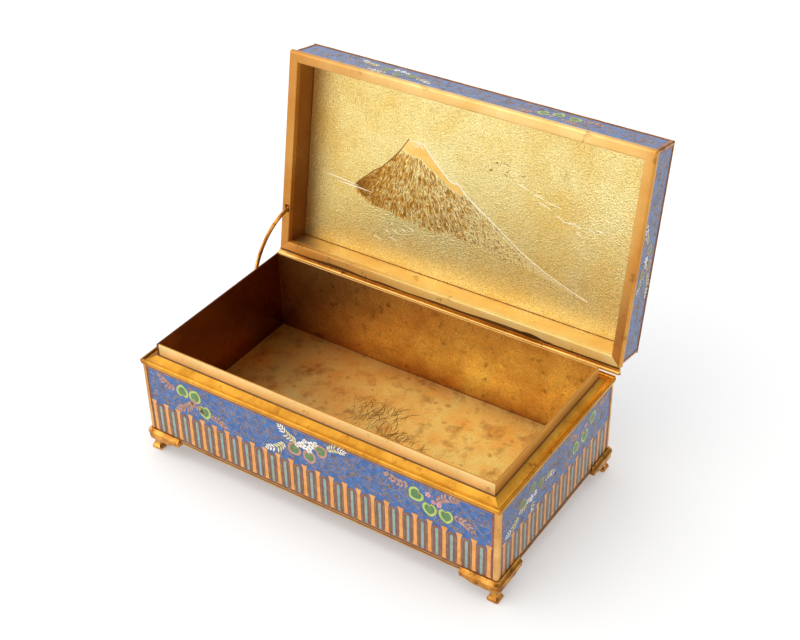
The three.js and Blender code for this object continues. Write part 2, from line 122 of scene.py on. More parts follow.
# Mercury-gilt brass, cast or drawn, then rubbed: it mirrors the room softly, pales where it is
# rubbed and keeps brown lacquer and dirt in clouds and pits. Every look starts from this one.
rubbedDown = {
    "stains": (0.6, 0.78),  # of the noise: where stains begin and where they are full
    "clouds": (0.35, 0.65), "flecks": (0.34, 0.66),  # of the noise: where each begins and ends
    "metallic": 1.0,
    "speckle": 0.04,  # how much darker the flecks are
    "pit": 0.8, "pitDepth": 0.01, "grain": 0.35, "grainDepth": 0.008,  # mm
    "fades": [],  # axis, place of the full tint, place where it ends (mm), tint
    "spots": None,  # spacing of round spots in mm, and the share of it in radius
}
fleckSize = 0.52  # mm, a few times the real ones, so that they show
giltLooks = {
    # The hinge's leaves, gilt and seldom touched: an even, clear gold.
    "giltBrass": {
        "bright": "#f6cc7c", "dull": "#e4b25e", "stain": "#8a5a26",
        "cloud": 14.0, "stainSize": 4.5, "stains": (0.62, 0.8),
        "roughness": (0.2, 0.32), "grainDepth": 0.006,
    },
    # Corner posts and the rail round the foot, thinly gilt: the copper in them warms the gold.
    "postGilt": {
        "bright": "#eebc74", "dull": "#d0924c", "stain": "#7e4a28",
        "cloud": 10.0, "stainSize": 3.5, "roughness": (0.24, 0.36), "grainDepth": 0.006,
    },
    # The ledge keeps more of its lacquer, so it is a deeper orange gold with brown clouds.
    "ledgeGilt": {
        "bright": "#e4a43c", "dull": "#be8028", "stain": "#7e4c16",
        "cloud": 14.0, "stainSize": 5.0, "stains": (0.57, 0.76),
        "roughness": (0.2, 0.34), "grainDepth": 0.006,
        "fades": [("X", -92.0, -84.0, "#8c6446")],
    },
    # The lip, where hands have rubbed it pale and left it slightly chalky, and its browner edge.
    # Its right face and its left end are darkened with painted shade.
    "rubbedAndShadedGilt": {
        "bright": "#ffe8a6", "dull": "#fcd88c", "stain": "#a87436",
        "cloud": 16.0, "stainSize": 5.0, "stains": (0.62, 0.8), "metallic": 0.75,
        "roughness": (0.34, 0.44),
        "fades": [("X", 84.25, 84.1, "#fbd896"), ("X", -83.3, -82.7, "#7a5636"),
                  ("Z", 56.35, 56.1, "#cca472")],
    },
    # The lid's rim: clear gold, browner towards the end with the stay.
    "rimGilt": {
        "bright": "#f7cf86", "dull": "#e5b262", "stain": "#8a5a20",
        "cloud": 26.0, "stainSize": 7.0, "metallic": 0.82, "roughness": (0.26, 0.36),
        "fades": [("X", -92.0, -22.0, "#d2ae80"), ("X", 92.0, 80.0, "#dcb46c")],
    },
    # The side of the rim that lies along the hinge, with brown stains and darker towards its left end.
    # Its pale, less metallic gold is painted light, so that it looks as bright as the lit rim where it
    # would mirror the dark tray.
    "hingeSideGilt": {
        "bright": "#ffe89c", "dull": "#ffd070", "stain": "#7a5420",
        "cloud": 22.0, "stainSize": 6.0, "stains": (0.6, 0.72), "metallic": 0.34,
        "roughness": (0.32, 0.42), "fades": [("X", -86.0, -10.0, "#d8ac6c")],
    },
    # The wall of the lid's recess, clean; its end beside the stay faces away from the light and is
    # darkened with painted shade.
    "liningGilt": {
        "bright": "#ffdc9c", "dull": "#f4c67c", "stain": "#8a5a20",
        "cloud": 26.0, "stainSize": 7.0, "metallic": 0.8, "roughness": (0.26, 0.36),
        "fades": [("X", -84.8, -78.0, "#a8845c")],
    },
    # Cast feet, the stay and the pins: a rougher skin, with the dark of old dirt in it.
    "castGilt": {
        "bright": "#eaa64c", "dull": "#9c6024", "stain": "#452810",
        "cloud": 5.0, "stainSize": 2.8, "stains": (0.54, 0.76), "roughness": (0.18, 0.32),
        "pit": 0.5, "pitDepth": 0.03, "grain": 0.3, "grainDepth": 0.012,
    },
    # Copper-rich edging of the lid, its gilding worn off: a thin reddish brown line.
    "copperEdging": {
        "bright": "#c98f60", "dull": "#96603c", "stain": "#5f3a24",
        "cloud": 5.0, "stainSize": 2.2, "stains": (0.58, 0.75), "roughness": (0.3, 0.42),
        "pit": 0.5, "pitDepth": 0.02, "grain": 0.3, "grainDepth": 0.01,
    },
    # Brass sheet of the tray's walls, still mirror-like, so that they darken each other. Painted shade
    # darkens them towards the left end and towards the floor.
    "tarnishedAndShadedSheet": {
        "bright": "#e9b76a", "dull": "#c48d48", "stain": "#6a4420",
        "cloud": 20.0, "stainSize": 3.4, "roughness": (0.24, 0.34), "speckle": 0.12,
        "pit": 0.7, "pitDepth": 0.012, "grain": 0.5, "grainDepth": 0.02,
        "fades": [("X", -82.0, -68.0, "#a08070"), ("Z", 15.0, 25.0, "#b08c6c")],
    },
    # The tray's back wall, hazy with fine pits, so that it also takes light from above. Painted shade
    # darkens it towards the left and towards its foot.
    "hazySheet": {
        "bright": "#f8c66e", "dull": "#d89c4c", "stain": "#6a4420",
        "cloud": 16.0, "stainSize": 4.6, "stains": (0.56, 0.78), "metallic": 0.84,
        "roughness": (0.26, 0.36), "speckle": 0.2,
        "pit": 0.7, "pitDepth": 0.02, "grain": 0.5, "grainDepth": 0.03,
        "fades": [("X", -84.0, -34.0, "#c4a684"), ("Z", 15.0, 29.0, "#b48e62")],
    },
    # The tray's floor, scoured by use: duller, so it takes light from the whole room, and spotted. Its
    # left part is darker with the painted shadow of the left wall.
    "scouredAndShadedSheet": {
        "bright": "#fff0a0", "dull": "#ffcc6e", "stain": "#a8621e",
        "cloud": 14.0, "stainSize": 9.0, "stains": (0.5, 0.78), "metallic": 0.8,
        "roughness": (0.38, 0.48), "speckle": 0.12, "spots": (6.5, 0.22),
        "pit": 0.7, "pitDepth": 0.02, "grain": 0.6, "grainDepth": 0.04,
        "fades": [("X", -80.0, 15.0, "#c8945a")],
    },
    # The gilt plate in the lid, matted with a ring punch: a fine even sparkle over pale gold.
    "mattedGilt": {
        "bright": "#ffeca4", "dull": "#f9d982", "stain": "#c89a48",
        "cloud": 22.0, "stainSize": 9.0, "stains": (0.62, 0.9), "metallic": 0.85,
        "roughness": (0.32, 0.42), "speckle": 0.24,
        "pit": 0.7, "pitDepth": 0.11, "grain": 0.45, "grainDepth": 0.05,
        "fades": [("X", -90.0, -20.0, "#f6ebd4")],
    },
    # Burnished cap and shoulder of the engraved mountain, a warmer gold than the matted ground.
    "burnishedGilt": {
        "bright": "#f8cf7c", "dull": "#ecbc62", "stain": "#b8843a",
        "cloud": 9.0, "stainSize": 5.0, "stains": (0.66, 0.85),
        "roughness": (0.3, 0.4), "grainDepth": 0.01,
    },
}
for name, look in giltLooks.items():
    giltLooks[name] = {**rubbedDown, **look}


def makeGilt(name, look):
    material, add = newMaterial(name)
    place = add("TexCoord").outputs["Object"]
    cloud = add("TexNoise", {"Scale": perMetre(look["cloud"]), "Detail": 5.0, "Roughness": 0.6},
                {"Vector": place})
    clear, full = look["clouds"]
    clouded = add("ValToRGB", {"stops": [(clear, 0.0), (full, 1.0)]}, {"Fac": cloud})
    metal = add("Mix", {"data_type": "RGBA", 6: toLinear(look["bright"]),
                        7: toLinear(look["dull"])}, {0: clouded})
    blots = add("TexNoise", {"Scale": perMetre(look["stainSize"]), "Detail": 6.0,
                             "Roughness": 0.65}, {"Vector": place})
    clear, full = look["stains"]
    stains = add("ValToRGB", {"stops": [(clear, 0.0), (full, 1.0)]}, {"Fac": blots})
    aged = add("Mix", {"data_type": "RGBA", 7: toLinear(look["stain"])},
               {0: stains, 6: metal.outputs[2]})
    fleck = add("TexNoise", {"Scale": perMetre(fleckSize), "Detail": 1.0}, {"Vector": place})
    clear, full = look["flecks"]
    flecks = add("ValToRGB", {"stops": [(clear, 1 - 1.6 * look["speckle"]), (full, 1.0)]},
                 {"Fac": fleck})
    flecked = add("Mix", {"data_type": "RGBA", "blend_type": "MULTIPLY", 0: 1.0},
                  {6: aged.outputs[2], 7: flecks})
    paint = flecked.outputs[2]
    if look["spots"]:  # their edges follow the noise of the stains, so that they aren't round
        spacing, share = look["spots"]
        drops = add("TexVoronoi", {"Scale": perMetre(spacing), "feature": "F1"}, {"Vector": place})
        uneven = add("Math", {"operation": "MULTIPLY_ADD", 1: 0.9, 2: -0.4}, {0: blots})
        distance = add("Math", {"operation": "ADD"}, {0: drops, 1: uneven})
        spots = add("ValToRGB", {"stops": [(share * 0.4, 0.5), (share, 0.0)]}, {"Fac": distance})
        spotted = add("Mix", {"data_type": "RGBA", 7: toLinear(look["stain"])},
                      {0: spots, 6: paint})
        paint = spotted.outputs[2]
    for axis, start, end, tint in look["fades"]:
        axes = add("SeparateXYZ", links={0: place})
        along = add("MapRange", {"From Min": start * mm, "From Max": end * mm,
                                 "To Min": 1.0, "To Max": 0.0}, {"Value": axes.outputs[axis]})
        faded = add("Mix", {"data_type": "RGBA", "blend_type": "MULTIPLY", 7: toLinear(tint)},
                    {0: along, 6: paint})
        paint = faded.outputs[2]
    low, high = look["roughness"]
    rough = add("MapRange", {"To Min": low, "To Max": high}, {"Value": clouded})
    pits = add("TexVoronoi", {"Scale": perMetre(look["pit"]), "feature": "F1"}, {"Vector": place})
    grain = add("TexNoise", {"Scale": perMetre(look["grain"]), "Detail": 3.0}, {"Vector": place})
    pitted = add("Bump", {"Strength": 1.0, "Distance": look["pitDepth"] * mm}, {"Height": pits})
    bump = add("Bump", {"Strength": 1.0, "Distance": look["grainDepth"] * mm},
               {"Height": grain, "Normal": pitted})
    shader = add("BsdfPrincipled", {"Metallic": look["metallic"]},
                 {"Base Color": paint, "Roughness": rough, "Normal": bump})
    add("OutputMaterial", links={"Surface": shader})
    return material


# Vitreous enamel, ground flush with its wires and polished: glassy, a little uneven, with pits.
enamelColours = {
    "cobaltEnamel": ("#2b5592", "#406fae"),
    "aubergineEnamel": ("#6f4a42", "#7d5a4c"),
    "russetEnamel": ("#7c4034", "#8e4e42"),
    "apricotEnamel": ("#e6923c", "#efa752"),
    "celadonEnamel": ("#7a9f9a", "#8fb2ac"),
    "limeEnamel": ("#a3c95a", "#b5d472"),
    "leafEnamel": ("#47783f", "#578a4b"),
    "rosewoodEnamel": ("#b07a70", "#cb9a8e"),
    "creamEnamel": ("#dcd89c", "#e8e4b4"),
    "whiteEnamel": ("#eef0ec", "#f8f9f6"),
    "pinkEnamel": ("#dd93a4", "#e8a9b6"),
    "greyLeafEnamel": ("#6f7c60", "#829070"),
    "copperPinkEnamel": ("#b98073", "#c9948a"),
}
glaze = {
    "cloud": 2.2, "pit": 0.5, "wave": 1.6, "waveDepth": 0.012,  # mm
    "pits": (0.70, 0.76), "pitShade": 0.45, "roughness": 0.2, "ior": 1.54,
}


def makeEnamel(name, colours, look):
    material, add = newMaterial(name)
    place = add("TexCoord").outputs["Object"]
    cloud = add("TexNoise", {"Scale": perMetre(look["cloud"]), "Detail": 4.0}, {"Vector": place})
    mix = add("ValToRGB", {"stops": [(0.38, colours[0]), (0.62, colours[1])]}, {"Fac": cloud})
    pits = add("TexNoise", {"Scale": perMetre(look["pit"]), "Detail": 2.0}, {"Vector": place})
    clear, full = look["pits"]
    pitted = add("ValToRGB", {"stops": [(clear, 1.0), (full, look["pitShade"])]}, {"Fac": pits})
    colour = add("Mix", {"data_type": "RGBA", "blend_type": "MULTIPLY", 0: 1.0},
                 {6: mix, 7: pitted})
    wave = add("TexNoise", {"Scale": perMetre(look["wave"]), "Detail": 2.0}, {"Vector": place})
    bump = add("Bump", {"Strength": 1.0, "Distance": look["waveDepth"] * mm}, {"Height": wave})
    shader = add("BsdfPrincipled", {"Roughness": look["roughness"], "IOR": look["ior"],
                                    "Metallic": 0.0},
                 {"Base Color": colour.outputs[2], "Normal": bump})
    add("OutputMaterial", links={"Surface": shader})
    return material


# Copper cell wire, ground flush: dull pinkish brown lines, brighter where light runs along them.
drawnWire = {
    "dull": "#94714c", "bright": "#c49c6a", "cloud": 3.0, "metallic": 0.6, "roughness": 0.42,
}


def makeWire(name, look):
    material, add = newMaterial(name)
    place = add("TexCoord").outputs["Object"]
    cloud = add("TexNoise", {"Scale": perMetre(look["cloud"]), "Detail": 3.0}, {"Vector": place})
    colour = add("ValToRGB", {"stops": [(0.35, look["dull"]), (0.65, look["bright"])]},
                 {"Fac": cloud})
    shader = add("BsdfPrincipled", {"Metallic": look["metallic"], "Roughness": look["roughness"]},
                 {"Base Color": colour})
    add("OutputMaterial", links={"Surface": shader})
    return material


# Cuts of a graver in gilt brass. The darker ones are full of old dirt. The dark colours also paint
# shade and dirt in the seam round the plate and in the corners round the box; the bright ones are
# painted highlights, for the shine of open cuts. Colour, roughness and metallic:
cuts = {
    "darkCut": ("#885212", 0.5, 0.6),
    "brownCut": ("#b87a22", 0.5, 0.7),
    "paleCut": ("#dba94e", 0.45, 0.9),
    "glintCut": ("#ffedae", 0.45, 0.6),
    "dirt": ("#6e4518", 0.6, 0.3),
    "blackCut": ("#4a2c12", 0.6, 0.3),
    "brightCut": ("#fff6d4", 0.5, 0.35),
}


def makeCut(name, colour, roughness, metallic):
    material, add = newMaterial(name)
    shader = add("BsdfPrincipled", {"Metallic": metallic, "Roughness": roughness,
                                    "Base Color": toLinear(colour)})
    add("OutputMaterial", links={"Surface": shader})
    return material


materials = {name: makeGilt(name, look) for name, look in giltLooks.items()}
materials.update({name: makeEnamel(name, pair, glaze) for name, pair in enamelColours.items()})
materials["copperWire"] = makeWire("copperWire", drawnWire)
materials.update({name: makeCut(name, *look) for name, look in cuts.items()})
print(len(materials), "materials made")


hinge = next(joint for joint in frame["joints"] if joint["name"] == "lid_hinge")
hingePoint = Vector(hinge["pos_m"])
# from the closed lid to the open one
lidTurn = (Matrix.Translation(hingePoint)
           @ Matrix.Rotation(math.radians(-hinge["range_deg"][1]), 4, "X")
           @ Matrix.Translation(-hingePoint))
boxTurn = Matrix.Identity(4)

# each side: the way along it, the way up it and the way out of it, with the lid closed
sideAxes = {
    "front": ((1, 0, 0), (0, 0, 1), (0, -1, 0)),
    "back": ((-1, 0, 0), (0, 0, 1), (0, 1, 0)),
    "left": ((0, -1, 0), (0, 0, 1), (-1, 0, 0)),
    "right": ((0, 1, 0), (0, 0, 1), (1, 0, 0)),
    "top": ((1, 0, 0), (0, 1, 0), (0, 0, 1)),
    "under": ((1, 0, 0), (0, -1, 0), (0, 0, -1)),
}


def cornersOf(node, turn):
    back = turn.inverted()
    points = [back @ vertex.co for vertex in frame["nodes"][node].data.vertices]
    low = Vector([min(point[axis] for point in points) for axis in range(3)]) / mm
    high = Vector([max(point[axis] for point in points) for axis in range(3)]) / mm
    return low, high


ledgeLow, ledgeHigh = cornersOf("ledge_moulding", boxTurn)
boxMiddle = (ledgeLow + ledgeHigh) / 2
boxMiddle.z = 0
placeCamera(camera, boxMiddle)
print("camera placed")


# one side of a solid, with its height measured from a base in mm or from its own middle
def faceOf(node, side, turn, base=None):
    low, high = cornersOf(node, turn)
    along, up, out = [Vector(axis) for axis in sideAxes[side]]
    origin = (low + high) / 2
    size = high - low
    origin += out * abs(size.dot(out)) / 2
    top = abs(size.dot(up)) / 2
    bottom = -top
    if base is not None:
        origin.z = base
        bottom, top = low.z - base, high.z - base
    return {"origin": origin, "along": along, "up": up, "out": out, "turn": turn,
            "half": abs(size.dot(along)) / 2, "bottom": bottom, "top": top}


def onFace(face, u, v, w):
    place = face["origin"] + face["along"] * u + face["up"] * v + face["out"] * w
    return face["turn"] @ (place * mm)


sunk = 0.12  # mm that every filling, wire and cut reaches down into the metal under it
thinnest = 0.12  # share of a tapered cut's width that is left at its ends
# mm that each sort of cut stands above the metal, so that no two lie in one plane
cutTop = {"cap": 0.01, "dot": 0.012, "tint": 0.015, "age": 0.02, "stroke": 0.03, "line": 0.05}


# a mesh in the making, of outlines and paths that lie on one face
def newLayer(face):
    return {"face": face, "points": [], "faces": [], "finishes": []}


def addPrism(layer, outline, finish, top):
    start = len(layer["points"])
    count = len(outline)
    for w in (-sunk, top):
        layer["points"] += [onFace(layer["face"], u, v, w) for u, v in outline]
    for a, b, c in tessellate_polygon([[Vector((u, v, 0)) for u, v in outline]]):
        layer["faces"] += [(start + a, start + b, start + c),
                           (start + count + a, start + count + b, start + count + c)]
        layer["finishes"] += [finish, finish]
    for i in range(count):
        j = (i + 1) % count
        layer["faces"].append((start + i, start + j, start + count + j, start + count + i))
        layer["finishes"].append(finish)


def addRibbon(layer, path, finish, width, top, closed=False, taper=False):
    start = len(layer["points"])
    count = len(path)
    for i, (u, v) in enumerate(path):
        before = path[i - 1] if i > 0 or closed else path[i]
        after = path[(i + 1) % count] if i < count - 1 or closed else path[i]
        du, dv = after[0] - before[0], after[1] - before[1]
        length = math.hypot(du, dv) or 1.0
        half = width / 2
        if taper:
            half *= max(thinnest, math.sin(math.pi * i / (count - 1)))
        nu, nv = -dv / length * half, du / length * half
        for su, w in ((1, -sunk), (1, top), (-1, top), (-1, -sunk)):
            layer["points"].append(onFace(layer["face"], u + su * nu, v + su * nv, w))
    spans = count if closed else count - 1
    for i in range(spans):
        near, far = start + i * 4, start + ((i + 1) % count) * 4
        for k in range(4):
            layer["faces"].append((near + k, near + (k + 1) % 4, far + (k + 1) % 4, far + k))
            layer["finishes"].append(finish)
    if not closed:
        last = start + (count - 1) * 4
        layer["faces"] += [(start, start + 1, start + 2, start + 3),
                           (last + 3, last + 2, last + 1, last)]
        layer["finishes"] += [finish, finish]


def makePiece(name, points, faces, finishes, body):
    mesh = bpy.data.meshes.new(name)
    mesh.from_pydata([tuple(point) for point in points], [], faces)
    used = sorted(set(finishes))
    for finish in used:
        mesh.materials.append(materials[finish])
    mesh.polygons.foreach_set("material_index", [used.index(finish) for finish in finishes])
    shape = bmesh.new()
    shape.from_mesh(mesh)
    bmesh.ops.recalc_face_normals(shape, faces=shape.faces)
    shape.to_mesh(mesh)
    shape.free()
    piece = addToScene(name, mesh)
    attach(piece, body)


def layerPiece(layer, name, body):
    makePiece(name, layer["points"], layer["faces"], layer["finishes"], body)


def smoothPath(points, steps=6, closed=False):
    count = len(points)
    spans = count if closed else count - 1
    path = []
    for i in range(spans):
        around = [points[(i + k) % count] if closed else points[min(max(i + k, 0), count - 1)]
                  for k in (-1, 0, 1, 2)]
        for step in range(steps):
            t = step / steps
            weights = (-t ** 3 + 2 * t ** 2 - t, 3 * t ** 3 - 5 * t ** 2 + 2,
                       -3 * t ** 3 + 4 * t ** 2 + t, t ** 3 - t ** 2)
            path.append(tuple(sum(w * p[axis] for w, p in zip(weights, around)) / 2
                              for axis in (0, 1)))
    if not closed:
        path.append(tuple(points[-1]))
    return path


def stepFrom(place, reach, angle):
    return place[0] + reach * math.cos(angle), place[1] + reach * math.sin(angle)


def turnedFrom(place, along, across, angle):
    return (place[0] + along * math.cos(angle) - across * math.sin(angle),
            place[1] + along * math.sin(angle) + across * math.cos(angle))


def arcPath(middle, radius, start, end, steps):
    return [stepFrom(middle, radius, math.radians(start + (end - start) * i / steps))
            for i in range(steps + 1)]


def shifted(place, shift):
    return place[0] + shift[0], place[1] + shift[1]


# the metal pieces get their edges eased, as files and polishing leave them (angles in degrees)
easing = {"flat": 0.6, "corner": 28.0, "crease": 35.0, "segments": 2}


def easeEdges(node, body, finish, edge, look):
    source = frame["nodes"][node]
    mesh = source.data.copy()
    shape = bmesh.new()
    shape.from_mesh(mesh)
    bmesh.ops.remove_doubles(shape, verts=shape.verts, dist=1e-6)
    bmesh.ops.dissolve_limit(shape, angle_limit=math.radians(look["flat"]), verts=shape.verts,
                             edges=shape.edges)
    corners = [e for e in shape.edges
               if len(e.link_faces) == 2 and e.calc_face_angle(0) > math.radians(look["corner"])]
    if edge > 0:
        bmesh.ops.bevel(shape, geom=corners, offset=edge * mm, offset_type="OFFSET",
                        segments=look["segments"], profile=0.5, affect="EDGES", clamp_overlap=True)
    bmesh.ops.triangulate(shape, faces=[f for f in shape.faces if len(f.verts) > 4])
    shape.to_mesh(mesh)
    shape.free()
    mesh.materials.clear()
    mesh.materials.append(materials[finish])
    mesh.polygons.foreach_set("use_smooth", [True] * len(mesh.polygons))
    mesh.polygons.foreach_set("material_index", [0] * len(mesh.polygons))
    mesh.set_sharp_from_angle(angle=math.radians(look["crease"]))
    piece = addToScene(node + "_metal", mesh)
    weighted = piece.modifiers.new("flat faces stay flat", "WEIGHTED_NORMAL")
    weighted.keep_sharp = True
    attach(piece, body)
    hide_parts(node)
    return piece


# node: finish, rounding of its edges in mm
metalwork = {
    "ledge_moulding": ("ledgeGilt", 0.12), "bottom_rail": ("postGilt", 0.12),
    "tray": ("rubbedAndShadedGilt", 0.1), "lid_rim": ("rimGilt", 0.08),
    "lid_top_rail": ("copperEdging", 0.08), "lid_lining": ("liningGilt", 0.05),
    "stay": ("castGilt", 0.0), "stay_pin": ("castGilt", 0.08),
    "bottom_plate": ("tarnishedAndShadedSheet", 0.1),
    "hinge_box": ("giltBrass", 0.05), "hinge_lid": ("giltBrass", 0.05),
    "hinge_pin": ("castGilt", 0.05),
}
for end in ("left", "right"):
    for side in ("front", "back"):
        metalwork["foot_" + side + "_" + end] = ("castGilt", 0.1)
        metalwork["post_" + side + "_" + end] = ("postGilt", 0.06)
        metalwork["lid_post_" + side + "_" + end] = ("copperEdging", 0.06)

bodies = frame["record"]["behaviour"]["bodies"]
bodyOf = {node: body for body, nodes in bodies.items() for node in nodes}
eased = {node: easeEdges(node, bodyOf[node], finish, edge, easing)
         for node, (finish, edge) in metalwork.items()}
print(len(metalwork), "metal pieces eased")


# The tray is bright outside, where it stands above the ledge. Inside it is tarnished, with a hazy
# back wall and a scoured floor, and darker towards the left and the floor with painted shade.
insideTray = {
    "walls": "tarnishedAndShadedSheet", "floor": "scouredAndShadedSheet", "back": "hazySheet",
    "wall": 0.8,  # mm, just under its gauge: what lies further in is inside
}


def tarnishAndShadeInside(piece, look):
    low, high = cornersOf("tray", boxTurn)
    mesh = piece.data
    for part in ("walls", "floor", "back"):
        mesh.materials.append(materials[look[part]])
    for polygon in mesh.polygons:
        place = polygon.center / mm
        clear = min(min(place[axis] - low[axis], high[axis] - place[axis]) for axis in (0, 1))
        onRim = place.z >= high.z - look["wall"] / 2
        if clear <= look["wall"] or onRim or polygon.normal.z <= -0.5:
            continue
        polygon.material_index = 1
        if polygon.normal.z > 0.5:
            polygon.material_index = 2
        elif polygon.normal.y < -0.5:
            polygon.material_index = 3


tarnishAndShadeInside(eased["tray"], insideTray)


# the rim's side along the hinge, which is its lowest part while the lid stands open
parting = cornersOf("lid_rim", lidTurn)[0].z  # height of the rim's underside when the lid is closed
hingeSide = {"finish": "hingeSideGilt", "height": parting + 8}  # mm above the floor, at its top


# the rim's side along the hinge gets the paler, less metallic gold: painted light
def paintLightOnHingeSide(piece, look):
    piece.data.materials.append(materials[look["finish"]])
    for polygon in piece.data.polygons:
        if polygon.center.z / mm < look["height"]:
            polygon.material_index = 1


paintLightOnHingeSide(eased["lid_rim"], hingeSide)


# Painted shade and brown dirt in the corners round the box, as strips from one (inset, height) to
# another: at the foot of the lip, round the edge of the tray's floor and along the top of the foot rail.
railHigh = cornersOf("bottom_rail", boxTurn)[1]
railInset = ledgeHigh.x - railHigh.x - 0.02
ledgeTop = ledgeHigh.z - 1.05  # of the flat behind the ledge's outer bead
cornerShadeAndDirt = {
    "lipFoot": ((5.72, ledgeTop + 1.2), (5.2, ledgeTop + 0.9), "dirt"),
    "trayFloor": ((6.66, 15.68), (7.02, 15.53), "darkCut"),
    "footRail": ((railInset, railHigh.z), (railInset, railHigh.z - 0.75), "dirt"),
}


def addCornerShadeAndDirt(look):
    points, faces, finishes = [], [], []
    for *edges, finish in look.values():
        start = len(points)
        for inset, height in edges:
            low, high = ledgeLow + Vector((inset, inset, 0)), ledgeHigh - Vector((inset, inset, 0))
            points += [Vector((x, y, height)) * mm for x, y in (
                (low.x, low.y), (high.x, low.y), (high.x, high.y), (low.x, high.y))]
        for i in range(4):
            near, far = start + i, start + (i + 1) % 4
            faces.append((near, far, far + 4, near + 4))
            finishes.append(finish)
    makePiece("corner_shade_and_dirt", points, faces, finishes, "box")


addCornerShadeAndDirt(cornerShadeAndDirt)


def giveFinish(node, finish):
    data = frame["nodes"][node].data
    for i in range(len(data.materials)):
        data.materials[i] = materials[finish]


for node in frame["nodes"]:
    if "plaque" in node:
        giveFinish(node, "cobaltEnamel")
giveFinish("lid_plate", "mattedGilt")


# cloisonne: colours in cells of copper wire
cell = {"low": 0.03, "mid": 0.045, "high": 0.06, "wire": 0.075}  # mm above the copper sheet
wireWidth = 0.24  # drawn wire of 0.1 to 0.2, a little fatter here so that it shows


# one cell: its enamel, and round it a wire of this share of the full width
def addCell(layer, outline, finish, height, wire):
    addPrism(layer, outline, finish, height)
    addRibbon(layer, outline, "copperWire", wireWidth * wire, cell["wire"], closed=True)


def addBorder(layer, face, inset, width, finish):
    low, high, half = face["bottom"] + inset, face["top"] - inset, face["half"] - inset
    strips = [
        ((-half, low), (half, low + width)), ((-half, high - width), (half, high)),
        ((-half, low + width), (-half + width, high - width)),
        ((half - width, low + width), (half, high - width)),
    ]
    for (u0, v0), (u1, v1) in strips:
        addPrism(layer, [(u0, v0), (u1, v0), (u1, v1), (u0, v1)], finish, cell["low"])
    ring = [(-half + width, low + width), (half - width, low + width),
            (half - width, high - width), (-half + width, high - width)]
    addRibbon(layer, ring, "copperWire", wireWidth, cell["wire"], closed=True)


# a row of domed panels between strips that widen at their heads, in mm
lappets = {
    "stripWidth": 1.85, "stripHead": 3.0, "stripTop": 28.9, "stripNeck": 27.6,
    "swell": ((1.15, 0.0), (0.95, 3.0)),  # of the strip at its foot: share of its width, height
    "waist": (0.9, 3.0), "flare": 0.8, "headEdge": 0.35,  # the same under its neck, and its head
    "stripEdge": 0.5, "panelEdge": 0.9,  # nearest to the end of the wall
    "arcTop": 27.7, "foot": 11.75, "edge": 0.5,
    "bar": 1.36, "barTop": 26.3, "barFoot": 12.0, "barTaper": 0.85,
}


def domedPanel(middle, dome, half, foot, footHalf, steps):
    arc = arcPath((middle, dome), half, 0, 180, steps)
    return [(middle + footHalf, foot), *arc, (middle - footHalf, foot)]


def addLappets(layer, face, strips, reach, look):
    pitch = 2 * reach / (strips - 1)
    half, head, bar = look["stripWidth"] / 2, look["stripHead"] / 2, look["bar"] / 2
    foot, neck, top = look["foot"], look["stripNeck"], look["stripTop"]
    for i in range(strips - 1):
        middle = -reach + (i + 0.5) * pitch
        outer = pitch / 2 - half
        dome = look["arcTop"] - outer
        panel = domedPanel(middle, dome, outer, foot, outer, 12)
        addPrism(layer, panel, "russetEnamel", cell["low"])
        inner = outer - look["edge"]
        panel = domedPanel(middle, dome, inner, foot, inner, 10)
        addPrism(layer, panel, "aubergineEnamel", cell["mid"])
        addRibbon(layer, panel, "copperWire", wireWidth * 0.8, cell["wire"])
        panel = domedPanel(middle, look["barTop"] - bar, bar, look["barFoot"],
                           bar * look["barTaper"], 8)
        addCell(layer, panel, "celadonEnamel", cell["high"], 0.7)
    for side in (-1, 1):  # what is left between the outermost strips and the border
        inner, outer = side * (reach + half * 0.8), side * (face["half"] - look["panelEdge"])
        addPrism(layer, [(inner, foot), (outer, foot), (outer, neck), (inner, neck)],
                 "russetEnamel", cell["low"])
    limit = face["half"] - look["stripEdge"]
    waist, below = look["waist"]
    right = [(half * share, foot + height) for share, height in look["swell"]]
    right += [(half * waist, neck - below), (half, neck - look["flare"]),
              (head, top - look["headEdge"]), (head, top)]
    both = right + [(-u, v) for u, v in reversed(right)]
    for i in range(strips):
        middle = -reach + i * pitch
        outline = [(min(max(middle + u, -limit), limit), v) for u, v in both]
        addCell(layer, outline, "apricotEnamel", cell["high"], 0.8)


# a heart-shaped leaf, as shares of its radius, with its veins (radians off the middle, length)
heart = {
    "tip": (0.2, 0.3), "notch": (0.42, 0.36), "core": 0.68, "steps": 28,
    "stem": 0.4, "veins": ((-0.6, 0.65), (0, 0.9), (0.6, 0.65)),
}


def leafOutline(middle, radius, pointing, look):
    (tip, tipWidth), (notch, notchWidth) = look["tip"], look["notch"]
    outline = []
    for i in range(look["steps"]):
        turn = 2 * math.pi * i / look["steps"]
        away = min(turn, 2 * math.pi - turn)
        reach = (1 + tip * math.exp(-(away / tipWidth) ** 2)
                 - notch * math.exp(-((math.pi - away) / notchWidth) ** 2))
        outline.append(stepFrom(middle, radius * reach, turn + math.radians(pointing)))
    return outline


def addLeaf(layer, middle, radius, pointing, rim, core, look):
    addCell(layer, leafOutline(middle, radius, pointing, look), rim, cell["mid"], 0.8)
    inner = leafOutline(middle, radius * look["core"], pointing, look)
    addCell(layer, inner, core, cell["high"], 0.7)
    angle = math.radians(pointing)
    start = stepFrom(middle, -radius * look["stem"], angle)
    for spread, length in look["veins"]:
        addRibbon(layer, [start, stepFrom(start, radius * length, angle + spread)], "copperWire",
                  wireWidth * 0.5, cell["wire"])


# an oval that points along an angle; every frond and flower is made of these
def ovalOutline(base, angle, steps, size):
    outline = []
    for i in range(steps):
        along, across = size(i / steps * 2 * math.pi)
        outline.append(turnedFrom(base, along, across, angle))
    return outline


